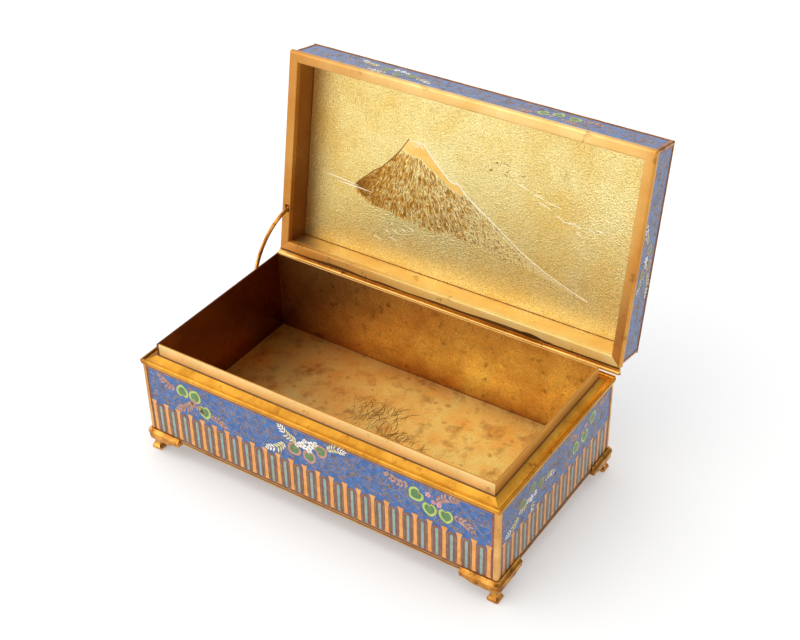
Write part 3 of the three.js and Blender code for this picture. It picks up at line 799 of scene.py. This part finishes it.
# a frond: pairs of leaflets along a bowed rib, longest a little past its middle
frond = {
    "bow": 0.12, "spread": 0.85, "shortest": 0.55, "swell": 0.75, "slim": 0.62,
    "endLength": 0.8, "endWidth": 0.6, "tipFrom": 0.55,
}


def addLeaflet(layer, base, angle, reach, width, finish):
    def size(turn):
        along = reach * (0.5 - 0.5 * math.cos(turn))
        return along, width / 2 * math.sin(turn) * (1.1 - 0.35 * along / reach)
    addCell(layer, ovalOutline(base, angle, 12, size), finish, cell["high"], 0.45)


def addFrond(layer, base, tip, pairs, halfWidth, finish, tipFinish, look):
    du, dv = tip[0] - base[0], tip[1] - base[1]
    length = math.hypot(du, dv)
    angle = math.atan2(dv, du)
    bow = look["bow"] * length
    middle = ((base[0] + tip[0]) / 2 - dv / length * bow,
              (base[1] + tip[1]) / 2 + du / length * bow)
    rib = smoothPath([base, middle, tip], 8)
    addRibbon(layer, rib, "copperWire", wireWidth * 0.8, cell["wire"])
    for i in range(pairs):
        t = (i + 0.6) / (pairs + 0.3)
        step = min(int(t * (len(rib) - 1)), len(rib) - 2)
        at, after = rib[step], rib[step + 1]
        run = math.atan2(after[1] - at[1], after[0] - at[0])
        swell = math.sin(math.pi * min(0.95, t * 0.85 + 0.12))
        reach = halfWidth * (look["shortest"] + look["swell"] * swell)
        paint = tipFinish if t > look["tipFrom"] else finish
        for side in (-1, 1):
            addLeaflet(layer, at, run + side * look["spread"], reach,
                       length / pairs * look["slim"], paint)
    addLeaflet(layer, rib[-2], angle, halfWidth * look["endLength"],
               length / pairs * look["endWidth"], tipFinish)


# a flower of five petals round an eye, as shares of its radius
flower = {"middle": 0.58, "length": 0.42, "width": 0.36, "eye": 0.22}


def addFlower(layer, middle, radius, finish, turn, look):
    def size(t):
        return (radius * (look["middle"] + look["length"] * math.cos(t)),
                radius * look["width"] * math.sin(t))
    for i in range(5):
        petal = ovalOutline(middle, math.radians(turn + i * 72), 10, size)
        addCell(layer, petal, finish, cell["high"] + 0.002 * i, 0.4)
    eye = arcPath(middle, radius * look["eye"], 0, 315, 7)
    addPrism(layer, eye, "apricotEnamel", cell["wire"])


# A waving stem with a curl in every bend, small curls round each and more in the gaps, in mm.
scrolls = {
    "wave": 15.0, "swing": 3.6, "margin": 1.2, "gap": 0.4,
    "curl": 3.5, "turns": 1.6, "small": 1.9, "smallTurns": 0.95, "smallSteps": 14,
    "round": (20, 110, 215, 300), "wander": 15,  # degrees round a curl where the small ones start
    "shrink": (0.5, 0.8),  # share of the small curls' radius, at random
    "pair": 3.1, "pairTurns": 1.1,
    "fill": 0.085, "fillRadius": (0.8, 1.5), "fillTurns": 1.2,  # to a square millimetre
    "fine": 0.85,  # of the wire's width, for the small curls
}


def addClearPath(layer, path, keepOuts, width):
    run = []
    for point in path + [None]:
        if point and all(math.hypot(point[0] - u, point[1] - v) > r for u, v, r in keepOuts):
            run.append(point)
            continue
        if len(run) > 2:
            addRibbon(layer, run, "copperWire", width, cell["low"])
        run = []


def curlPath(middle, radius, start, turns, way, steps=30):
    path = []
    for i in range(steps + 1):
        t = i / steps
        reach = radius * (1 - 0.82 * t ** 0.85)
        path.append(stepFrom(middle, reach, math.radians(start) + way * turns * 2 * math.pi * t))
    return path


def addScrolls(layer, half, low, high, keepOuts, chance, look):
    middle, room = (low + high) / 2, (high - low) / 2
    waves = max(1, round(2 * half / look["wave"]))
    wave = 2 * half / waves
    swing = min(look["swing"], room * 0.45)
    fine = wireWidth * look["fine"]

    def addCurl(path, width):
        path = [(min(max(u, -half), half), min(max(v, low + look["gap"]), high - look["gap"]))
                for u, v in path]
        addClearPath(layer, path, keepOuts, width)

    stem = []
    steps = waves * 24
    for i in range(steps + 1):
        u = -half + 2 * half * i / steps
        stem.append((u, middle + swing * math.sin(2 * math.pi * (u + half) / wave)))
    addClearPath(layer, stem, keepOuts, wireWidth)
    for i in range(2 * waves):
        crest = 1 if i % 2 == 0 else -1
        at = -half + (i + 0.5) * wave / 2
        radius = min(look["curl"], room * 0.5)
        centre = (at + 0.3, middle - crest * (room - radius - 0.9) * 0.75)
        addCurl(curlPath(centre, radius, 160 * crest, look["turns"], -crest), wireWidth)
        for angle in look["round"]:
            way = math.radians(angle + chance.uniform(-look["wander"], look["wander"]))
            small = look["small"] * chance.uniform(*look["shrink"])
            away = stepFrom(stepFrom(centre, radius, way), small * 1.1, way + 0.7)
            addCurl(curlPath(away, small, math.degrees(way) + 200, look["smallTurns"],
                             chance.choice((-1, 1)), look["smallSteps"]), fine)
        if swing + 2.0 < room:
            for side in (-1, 1):
                place = (at + side * look["pair"], middle + crest * (room - 1.9))
                addCurl(curlPath(place, look["small"] * 0.8, 200, look["pairTurns"], side, 16),
                        fine)


def addFilling(layer, half, low, high, keepOuts, chance, look):
    for _ in range(int(2 * half * (high - low) * look["fill"])):
        middle = (chance.uniform(-half + 1.5, half - 1.5), chance.uniform(low + 1.5, high - 1.5))
        radius = chance.uniform(*look["fillRadius"])
        path = curlPath(middle, radius, chance.uniform(0, 360), look["fillTurns"],
                        chance.choice((-1, 1)), look["smallSteps"])
        addClearPath(layer, path, keepOuts, wireWidth * look["fine"])


# finishes of the sprays: leaf rims, leaf cores, fronds, their tips and petals
sprayFinishes = {
    "green": ("limeEnamel", "leafEnamel", "rosewoodEnamel", "rosewoodEnamel", "pinkEnamel"),
    "rosy": ("copperPinkEnamel", "leafEnamel", "creamEnamel", "whiteEnamel", "whiteEnamel"),
    "grey": ("greyLeafEnamel", "leafEnamel", "creamEnamel", "whiteEnamel", "whiteEnamel"),
}
# each spray: leaves (middle, radius, pointing), fronds (base, tip, pairs, half width) and flowers
sprays = {
    "frontLeft": {
        "finishes": "green",
        "leaves": [((-67.5, 40.4), 3.3, 90), ((-60.6, 40.2), 3.3, 70), ((-55.8, 34.4), 3.4, 280)],
        "fronds": [((-71.6, 40.2), (-80.0, 44.6), 6, 2.3), ((-62.3, 36.6), (-70.9, 30.4), 7, 2.5),
                   ((-52.5, 32.7), (-44.6, 30.6), 6, 2.2), ((-63.8, 37.2), (-57.6, 33.2), 4, 1.9)],
        "flowers": [],
    },
    "frontMiddle": {
        "finishes": "rosy",
        "leaves": [((-7.8, 35.7), 3.4, 225), ((-0.3, 34.9), 3.3, 280), ((5.5, 40.2), 3.3, 30)],
        "fronds": [((-6.4, 40.2), (-15.0, 45.0), 7, 2.5), ((-12.8, 36.5), (-22.6, 30.2), 7, 2.3),
                   ((8.8, 42.6), (17.6, 45.0), 7, 2.3)],
        "flowers": [((-3.6, 39.6), 2.2, 10), ((-0.3, 38.4), 2.0, 40), ((1.0, 41.6), 2.1, 80),
                    ((-6.3, 38.6), 1.5, 0), ((3.2, 43.0), 1.4, 60), ((-2.2, 42.2), 1.3, 25)],
    },
    "frontRight": {
        "finishes": "green",
        "leaves": [((51.8, 39.7), 3.6, 225), ((58.0, 34.9), 3.4, 275), ((65.5, 34.9), 3.4, 275)],
        "fronds": [((48.2, 42.6), (37.8, 43.8), 6, 2.3), ((61.2, 40.2), (71.0, 45.2), 7, 2.3),
                   ((69.0, 35.9), (78.0, 32.4), 6, 2.3)],
        "flowers": [((57.3, 41.9), 1.5, 0), ((62.3, 38.9), 1.5, 30), ((59.8, 39.2), 1.2, 15)],
    },
    "endWhite": {
        "finishes": "grey",
        "leaves": [((-29.8, 38.2), 2.9, 120), ((-22.0, 40.8), 2.8, 80), ((-15.4, 38.4), 2.9, 40)],
        "fronds": [((-32.6, 34.4), (-42.2, 30.8), 7, 2.1), ((-22.0, 33.4), (-21.8, 28.9), 3, 1.7),
                   ((-11.8, 37.2), (-4.2, 36.4), 6, 1.9), ((-26.0, 35.8), (-31.8, 35.6), 4, 1.5)],
        "flowers": [((-22.8, 36.2), 1.9, 0), ((-19.4, 36.6), 1.5, 30), ((-25.6, 36.8), 1.4, 50)],
    },
    "endGreen": {
        "finishes": "green",
        "leaves": [((14.9, 35.4), 3.0, 230), ((22.3, 36.4), 3.1, 275), ((28.9, 41.3), 3.0, 30)],
        "fronds": [((17.0, 40.0), (10.2, 44.2), 6, 1.9), ((32.4, 42.4), (41.2, 44.0), 6, 1.9),
                   ((10.8, 34.4), (4.2, 31.4), 5, 1.9)],
        "flowers": [((22.8, 41.2), 1.4, 0), ((19.8, 39.8), 1.2, 30)],
    },
    "lidWhite": {
        "finishes": "grey",
        "leaves": [((-44.5, 10.6), 2.7, 150), ((-37.0, 8.2), 2.7, 270), ((-31.4, 10.4), 2.7, 20)],
        "fronds": [((-49.0, 12.4), (-58.6, 14.8), 7, 1.9), ((-42.0, 6.6), (-50.6, 6.2), 6, 1.8),
                   ((-28.4, 9.4), (-20.6, 7.4), 6, 1.8)],
        "flowers": [((-40.6, 13.0), 1.7, 0), ((-37.2, 13.2), 1.6, 30), ((-34.4, 12.4), 1.2, 20)],
    },
    "lidGreen": {
        "finishes": "green",
        "leaves": [((34.3, 10.2), 2.7, 200), ((40.2, 12.2), 2.7, 90), ((47.6, 12.0), 2.7, 20)],
        "fronds": [((31.4, 9.0), (23.6, 7.0), 6, 1.8), ((51.2, 12.0), (60.0, 13.4), 6, 1.8),
                   ((43.4, 8.2), (51.4, 5.8), 6, 1.8)],
        "flowers": [((38.4, 8.4), 1.2, 0)],
    },
    "lidEnd": {
        "finishes": "rosy",
        "leaves": [((-2.2, 11.7), 2.6, 150), ((4.9, 13.6), 2.5, 60), ((7.9, 8.4), 2.5, 320)],
        "fronds": [((-6.6, 9.4), (-15.2, 5.2), 6, 1.8), ((10.2, 7.4), (15.8, 5.4), 5, 1.6),
                   ((9.2, 13.8), (20.6, 15.4), 7, 1.7)],
        "flowers": [((1.6, 10.0), 1.8, 0), ((4.4, 10.4), 1.4, 30)],
    },
}


def sprayParts(spray, shift):
    leaves = [(shifted(middle, shift), *rest) for middle, *rest in spray["leaves"]]
    fronds = [(shifted(base, shift), shifted(tip, shift), *rest)
              for base, tip, *rest in spray["fronds"]]
    flowers = [(shifted(middle, shift), *rest) for middle, *rest in spray["flowers"]]
    return leaves, fronds, flowers


# circles that the scrolls keep out of: (u, v, radius)
def sprayKeepOuts(spray, shift):
    leaves, fronds, flowers = sprayParts(spray, shift)
    circles = [(*middle, radius + 0.3) for middle, radius, _ in leaves]
    circles += [(*middle, radius + 0.2) for middle, radius, _ in flowers]
    for base, tip, _, wide in fronds:
        circles += [(base[0] + (tip[0] - base[0]) * t, base[1] + (tip[1] - base[1]) * t, wide * 0.9)
                    for t in (0.1, 0.3, 0.5, 0.7, 0.9)]
    return circles


def addSpray(layer, spray, shift):
    rim, core, blade, bladeTip, petal = sprayFinishes[spray["finishes"]]
    leaves, fronds, flowers = sprayParts(spray, shift)
    for base, tip, pairs, wide in fronds:
        addFrond(layer, base, tip, pairs, wide, blade, bladeTip, frond)
    for middle, radius, pointing in leaves:
        addLeaf(layer, middle, radius, pointing, rim, core, heart)
    for middle, radius, turn in flowers:
        addFlower(layer, middle, radius, petal, turn, flower)


# a field of scrolls with its sprays, in this many rows; only a wall has the small curls in its gaps
def addField(layer, half, low, high, placed, seed, rows=1, filled=True):
    keepOuts = [circle for name, shift in placed
                for circle in sprayKeepOuts(sprays[name], shift)]
    chance = random.Random(seed)
    height = (high - low) / rows
    for row in range(rows):
        addScrolls(layer, half, low + row * height, low + (row + 1) * height, keepOuts, chance,
                   scrolls)
    if filled:
        addFilling(layer, half, low, high, keepOuts, chance, scrolls)
    for name, shift in placed:
        addSpray(layer, sprays[name], shift)


# wall: strips, how far out the outermost stands, and its sprays with their shifts
still = (0.0, 0.0)
boxWalls = {
    "front": (26, 85.2, [("frontLeft", still), ("frontMiddle", still), ("frontRight", still)]),
    "back": (26, 85.2, [("frontMiddle", (2.5, 0.0))]),
    "left": (14, 43.4, [("endWhite", still), ("endGreen", still)]),
    "right": (14, 43.4, [("endWhite", still), ("endGreen", still)]),
}
lidWalls = {
    "front": [("lidWhite", still), ("lidGreen", still)],
    "back": [("lidEnd", (-1.5, 0.0))],
    "left": [("lidEnd", still)],
    "right": [("lidEnd", still)],
}
borders = {"box": 0.95, "lid": 0.7}  # mm wide
fieldFoot, fieldTop = 28.6, 1.0  # mm above the floor, over the lappets, and mm below the wall's top

for seed, (side, (strips, reach, placed)) in enumerate(boxWalls.items()):
    face = faceOf("plaque_" + side, side, boxTurn, 0.0)
    layer = newLayer(face)
    addBorder(layer, face, 0.0, borders["box"], "russetEnamel")
    addLappets(layer, face, strips, reach, lappets)
    addField(layer, face["half"] - scrolls["margin"], fieldFoot, face["top"] - fieldTop,
             placed, seed)
    layerPiece(layer, "cloisonne_" + side, "box")
for seed, (side, placed) in enumerate(lidWalls.items(), 10):
    face = faceOf("lid_plaque_" + side, side, lidTurn, parting)
    layer = newLayer(face)
    width = borders["lid"]
    addBorder(layer, face, 0.0, width, "russetEnamel")
    addField(layer, face["half"] - scrolls["margin"], face["bottom"] + width, face["top"] - width,
             placed, seed)
    layerPiece(layer, "lid_cloisonne_" + side, "lid")
print("side walls enamelled")

# the lid's top, plainer: a border, a fine line inside it, rows of scrolls and sprays in the middle
topCells = {
    "border": 1.6, "line": 3.4, "lineWidth": 0.5, "rows": 5, "seed": 40,
    "sprays": [("frontMiddle", (2.5, -38.0)), ("frontLeft", (28.0, -38.0)),
               ("frontRight", (-24.0, -38.0))],
}


def enamelTop(look):
    face = faceOf("lid_plaque_top", "top", lidTurn)
    layer = newLayer(face)
    line = look["line"]
    addBorder(layer, face, 0.0, look["border"], "russetEnamel")
    addBorder(layer, face, line, look["lineWidth"], "apricotEnamel")
    low, high = face["bottom"] + line + 0.6, face["top"] - line - 0.6
    addField(layer, face["half"] - line - 1.0, low, high,
             look["sprays"], look["seed"], look["rows"], filled=False)
    layerPiece(layer, "lid_cloisonne_top", "lid")


enamelTop(topCells)
print("lid's top enamelled")


plateFace = faceOf("lid_plate", "under", lidTurn)
# a snow-capped mountain, engraved in the lid's plate
mountain = {
    "leftSlope": [(-31.0, 19.0), (-36.0, 11.3), (-43.5, 2.6), (-48.5, -1.2), (-56.6, -8.7)],
    "crater": [(-31.0, 19.0), (-29.2, 18.0), (-27.3, 18.8), (-25.4, 17.8), (-23.5, 18.4)],
    "rightSlope": [(-23.5, 18.2), (-16.0, 11.3), (-7.9, 5.0), (-3.5, 4.4), (1.5, 0.0),
                   (16.5, -8.7), (31.5, -17.5), (45.3, -23.7), (65.3, -30.2)],
    "lowerEdge": [(-56.6, -8.7), (-54.8, -12.5), (-48.5, -16.2), (-26.0, -19.3), (1.5, -19.3),
                  (21.5, -23.0), (39.0, -25.0), (52.0, -27.0)],
    "cap": [(-31.0, 19.0), (-27.3, 18.4), (-23.5, 18.2), (-16.0, 11.3), (-7.9, 5.0), (-3.5, 4.4),
            (0.6, 0.4), (-4.0, 0.4), (-9.6, 2.4), (-15.4, 6.6), (-20.0, 8.4), (-24.0, 11.6),
            (-28.6, 11.4), (-34.2, 14.0)],
    "foothill": [(14.0, -9.0), (30.0, -18.4), (44.0, -24.4), (58.0, -29.0)],
    # lines along the slopes: from which point to which, how wide in mm, and how dark; the bright
    # lines on the crater, the right slope and the foothill are painted highlights
    "edges": [("leftSlope", 0, 5, 0.45, "darkCut"), ("crater", 0, 5, 0.4, "brightCut"),
              ("rightSlope", 0, 6, 0.75, "brightCut"), ("rightSlope", 5, 9, 0.5, "brightCut"),
              ("foothill", 0, 4, 0.3, "glintCut")],
    "peak": (-27.3, 30.0),  # where the strokes would meet, above the crater
    "across": (-56.4, 51.0), "bare": 18.5,  # mm: the flank, and how far from the peak it is bare
    "strokes": 6400, "tinted": 0.16, "tintedTo": 0.75, "rightWay": 40.0,
    "scatter": 0.14, "bend": 0.25,  # radians off the line from the peak
    "dark": (0.3, 0.3), "glint": (0.12, 0.46),  # share of the strokes, and what the right adds
    "length": (1.1, 2.5), "width": (0.15, 0.23), "tintWidth": 1.1,
    # the specks by the crater are painted highlights
    "specks": 26, "speckSize": (0.2, 0.35), "speckU": (-30.0, -22.5), "speckV": (16.0, 18.6),
}


def inside(outline, u, v):
    crossings = 0
    for (u0, v0), (u1, v1) in zip(outline, outline[1:] + outline[:1]):
        if (v0 > v) != (v1 > v) and u < u0 + (v - v0) * (u1 - u0) / (v1 - v0):
            crossings += 1
    return crossings % 2 == 1


def heightAt(line, u):
    for (u0, v0), (u1, v1) in zip(line, line[1:]):
        if u0 <= u <= u1:
            return v0 + (v1 - v0) * (u - u0) / (u1 - u0)
    return None


# Each stroke runs down from the peak. Wide pale ones tint the flank first, then come brown and dark
# ones, close together on the left and shorter, sparser and mixed with bright ones to the right.
# The bright ones are painted glints.
def engraveMountain(look):
    layer = newLayer(plateFace)
    chance = random.Random(7)
    left, right, peak = look["leftSlope"], look["rightSlope"], look["peak"]
    (dark, moreDark), (glint, moreGlint) = look["dark"], look["glint"]
    upper = list(reversed(left)) + look["crater"][1:] + right[1:]
    addPrism(layer, look["cap"], "burnishedGilt", cutTop["cap"])
    placed = 0
    while placed < look["strokes"]:
        u = chance.uniform(*look["across"])
        top, bottom = heightAt(upper, u), heightAt(look["lowerEdge"], u)
        if top is None or bottom is None or top <= bottom:
            continue
        v = chance.uniform(bottom, top)
        side = (u - peak[0]) / look["rightWay"]
        if (math.hypot(u - peak[0], v - peak[1]) < look["bare"] or inside(look["cap"], u, v)
                or chance.random() < max(0.0, side) * 0.35):
            continue
        placed += 1
        tint = placed < look["strokes"] * look["tinted"]
        if tint and side > look["tintedTo"]:
            continue
        angle = math.atan2(v - peak[1], u - peak[0])
        angle += chance.uniform(-look["scatter"], look["scatter"])
        if side > 0:
            angle += look["bend"] * min(side, 1.5)
        length = chance.uniform(*look["length"]) * (1 if side < 0.3 else max(0.4, 1.1 - 0.5 * side))
        width = chance.uniform(*look["width"]) + 0.1 * max(0.0, min(side, 1.0))
        finish = "darkCut" if chance.random() < dark + moreDark * side else "brownCut"
        if chance.random() < glint + moreGlint * side:
            finish = "glintCut"
        if tint:
            length, width, finish = length * 1.5, look["tintWidth"], "paleCut"
        end = stepFrom((u, v), length, angle)
        path = [(u, v), ((u + end[0]) / 2, (v + end[1]) / 2), end]
        addRibbon(layer, path, finish, width, cutTop["tint" if tint else "stroke"], taper=True)
    for line, first, last, width, finish in look["edges"]:
        addRibbon(layer, smoothPath(look[line][first:last], 8), finish, width, cutTop["line"])
    for _ in range(look["specks"]):
        place = (chance.uniform(*look["speckU"]), chance.uniform(*look["speckV"]))
        size = chance.uniform(*look["speckSize"])
        addPrism(layer, arcPath(place, size, 0, 300, 5), "brightCut", cutTop["line"])
    layerPiece(layer, "engraved_mountain", "lid")


engraveMountain(mountain)

# the dots of a stain, upper right: middle, how far they scatter and how many
stain = [((15.6, 19.6), 2.6, 14), ((11.0, 15.4), 2.4, 12), ((19.0, 15.8), 2.8, 14),
         ((27.6, 17.4), 2.2, 10)]
# bright cuts: mist across the left slope, waves at the lower left and clouds on the right, as
# (width, bow as a share of the length, cuts); their near-white colour is a painted highlight
brightCuts = {
    "mist": (0.6, 0.03, [
        ((-76.6, -9.3), (-55.4, -10.6)), ((-68.5, -11.5), (-48.5, -11.8))]),
    "waves": (0.6, 0.1, [
        ((-45.5, -32.4), (-41.2, -33.6)), ((-40.0, -28.0), (-36.8, -29.2)),
        ((-36.0, -26.6), (-32.6, -27.8)), ((-37.6, -30.6), (-33.0, -31.8)),
        ((-31.4, -25.0), (-27.8, -26.0)), ((-27.4, -23.0), (-24.0, -24.2))]),
    "clouds": (0.5, 0.1, [
        ((24.6, 13.2), (31.0, 11.4)), ((31.6, 10.4), (38.6, 9.6)), ((35.4, 8.0), (43.0, 5.6)),
        ((38.6, 8.8), (47.4, 7.8)), ((44.6, 4.4), (49.0, 2.6)), ((47.6, 2.2), (56.4, 2.6)),
        ((53.0, 3.4), (57.6, 1.2)), ((55.0, -0.2), (58.6, -1.8)), ((60.0, 2.8), (64.6, 1.4)),
        ((63.4, 3.2), (69.6, 2.4))]),
}


def engraveBrightCuts(look, dots):
    layer = newLayer(plateFace)
    for width, bow, strokes in look.values():
        for start, end in strokes:
            length = math.hypot(end[0] - start[0], end[1] - start[1])
            middle = ((start[0] + end[0]) / 2, (start[1] + end[1]) / 2 + bow * length * 0.4)
            path = smoothPath([start, middle, end], 8)
            addRibbon(layer, path, "brightCut", width, cutTop["line"], taper=True)
    chance = random.Random(11)
    for middle, scatter, count in dots:
        for _ in range(count):
            place = shifted(middle, (chance.gauss(0, scatter / 2), chance.gauss(0, scatter / 3)))
            size = chance.uniform(0.12, 0.34)
            addPrism(layer, arcPath(place, size, 0, 300, 5), "darkCut", cutTop["dot"])
    layerPiece(layer, "bright_cuts", "lid")


engraveBrightCuts(brightCuts, stain)

# painted shade and dirt in the seam where the wall of the recess stands on the plate, and brown age
# along the rim's edge by the hinge, smeared wider in places (where, how long, how wide)
age = {
    "wall": 0.6, "seam": 0.3, "line": 0.5, "inset": 0.4,
    "smears": [(-56.0, 30.0, 1.5), (-30.0, 18.0, 0.9), (2.0, 34.0, 1.0), (34.0, 46.0, 1.7),
               (46.0, 14.0, 2.1)],
}


def shadeSeamAndAgeRim(look):
    layer = newLayer(plateFace)
    inset = look["wall"] + look["seam"] / 2
    half, foot = plateFace["half"] - inset, plateFace["bottom"] + inset
    seam = [(-half, -foot), (-half, foot), (half, foot), (half, -foot)]
    addRibbon(layer, seam, "darkCut", look["seam"], cutTop["age"])
    rim = faceOf("lid_rim", "under", lidTurn)
    onRim = newLayer(rim)
    line, end = rim["bottom"] + look["inset"], rim["half"] - look["inset"]
    addRibbon(onRim, [(-end, line), (end, line)], "dirt", look["line"], cutTop["cap"])
    for middle, length, width in look["smears"]:
        path = [(middle + length * step / 10, line + width / 4) for step in range(-5, 6)]
        addRibbon(onRim, path, "dirt", width, cutTop["age"], taper=True)
    layerPiece(layer, "plate_seam", "lid")
    layerPiece(onRim, "rim_age", "lid")


shadeSeamAndAgeRim(age)
print("lid plate engraved")


trayFloorFace = faceOf("tray", "top", boxTurn)
trayFloorFace["origin"].z = frame["record"]["mounts"][-1]["pos_m"][2] / mm
# two tufts of reeds on the tray's floor, cut with a graver and dark with age
reeds = {
    "left": {"u": (-19.0, 8.0), "v": (-4.0, 26.0), "count": 85, "reach": (2.5, 9)},
    "right": {"u": (4.0, 26.0), "v": (-10.0, 9.0), "count": 90, "reach": (2.5, 6)},
}
reedCut = {"rooted": 0.55, "lean": (-0.9, 1.0), "width": (0.16, 0.32),
           "finishes": ("blackCut", "dirt", "darkCut")}


def engraveReeds(tufts, look):
    layer = newLayer(trayFloorFace)
    chance = random.Random(3)
    for tuft in tufts.values():
        low, high = tuft["v"]
        for _ in range(tuft["count"]):
            across, up = chance.uniform(*tuft["u"]), chance.uniform(0, look["rooted"])
            root = (across, low + up * (high - low))
            lean = chance.uniform(*look["lean"])
            reach = chance.uniform(*tuft["reach"])
            middle = shifted(root, (lean * reach * 0.3, reach * 0.6))
            path = smoothPath([root, middle, shifted(root, (lean * reach, reach))], 5)
            finish = chance.choice(look["finishes"])
            width = chance.uniform(*look["width"])
            addRibbon(layer, path, finish, width, cutTop["age"], taper=True)
    layerPiece(layer, "engraved_reeds", "box")


engraveReeds(reeds, reedCut)
print("tray engraved")


studio = {
    "half": 2.5,  # metres from the middle of the floor to its edge
    "floorColour": "#dededd", "glow": 0.29,  # a white table lit a little from below
    "grain": 3.0, "grainDepth": 0.05,  # mm
    "tentLeft": 2.7, "tentRight": 0.55, "roof": 1.9, "back": 0.5,  # how bright its cloth is
    "acrossFade": (-0.6, 0.8), "roofFade": (0.35, 0.9), "backFade": (0.0, 0.7),
    "darkEnd": 0.05, "darkHalf": (12, 36),  # degrees round the lens, where the tent is open
}


def makeStudio(look):
    material, add = newMaterial("paperSweep")  # matt white paper: even and shadow soft
    grain = add("TexNoise", {"Scale": perMetre(look["grain"]), "Detail": 2.0})
    bump = add("Bump", {"Strength": 0.1, "Distance": look["grainDepth"] * mm}, {"Height": grain})
    shader = add("BsdfPrincipled", {
        "Base Color": toLinear(look["floorColour"]), "Roughness": 0.9, "Specular IOR Level": 0.2,
        "Emission Color": (1, 1, 1, 1), "Emission Strength": look["glow"]}, {"Normal": bump})
    add("OutputMaterial", links={"Surface": shader})
    half = look["half"]
    corners = [(-half, -half, 0), (half, -half, 0), (half, half, 0), (-half, half, 0)]
    mesh = bpy.data.meshes.new("floor")
    mesh.from_pydata(corners, [], [(0, 1, 2, 3)])
    mesh.materials.append(material)
    addToScene("floor", mesh)


# A light tent: bright cloth on the left, dim on the right, a lit roof, dimmer behind the box, and
# dark where the lens looks in.
def makeTent(look):
    world = bpy.data.worlds.new("tent")
    world.use_nodes = True
    world.node_tree.nodes.clear()
    add = partial(addNode, world)
    way = add("TexCoord").outputs["Generated"]
    axes = add("SeparateXYZ", links={0: way})
    smooth = {"interpolation_type": "SMOOTHSTEP"}
    start, end = look["acrossFade"]
    sides = add("MapRange", {**smooth, "From Min": start, "From Max": end,
                             "To Min": look["tentLeft"], "To Max": look["tentRight"]},
                {"Value": axes.outputs[0]})
    start, end = look["roofFade"]
    height = add("MapRange", {**smooth, "From Min": start, "From Max": end},
                 {"Value": axes.outputs[2]})
    cloth = add("Mix", {"data_type": "FLOAT", 3: look["roof"]}, {0: height, 2: sides})
    azimuth, elevation = math.radians(camera["azimuth"]), math.radians(camera["elevation"])
    lensWay = (math.sin(azimuth) * math.cos(elevation), -math.cos(azimuth) * math.cos(elevation),
               math.sin(elevation))
    toLens = add("VectorMath", {"operation": "DOT_PRODUCT", 1: lensWay}, {0: way})
    near, far = [math.cos(math.radians(angle)) for angle in look["darkHalf"]]
    opening = add("MapRange", {**smooth, "From Min": far, "From Max": near,
                               "To Min": 1.0, "To Max": look["darkEnd"]},
                  {"Value": toLens.outputs["Value"]})
    start, end = look["backFade"]
    behind = add("MapRange", {**smooth, "From Min": start, "From Max": end,
                              "To Min": 1.0, "To Max": look["back"]}, {"Value": axes.outputs[1]})
    lit = add("Math", {"operation": "MULTIPLY"}, {0: cloth, 1: opening})
    strength = add("Math", {"operation": "MULTIPLY"}, {0: lit, 1: behind})
    sky = add("Background", links={"Strength": strength})
    add("OutputWorld", links={"Surface": sky})
    bpy.context.scene.world = world
    bpy.context.scene.view_settings.view_transform = "Standard"


makeStudio(studio)
makeTent(studio)
print("studio lit")
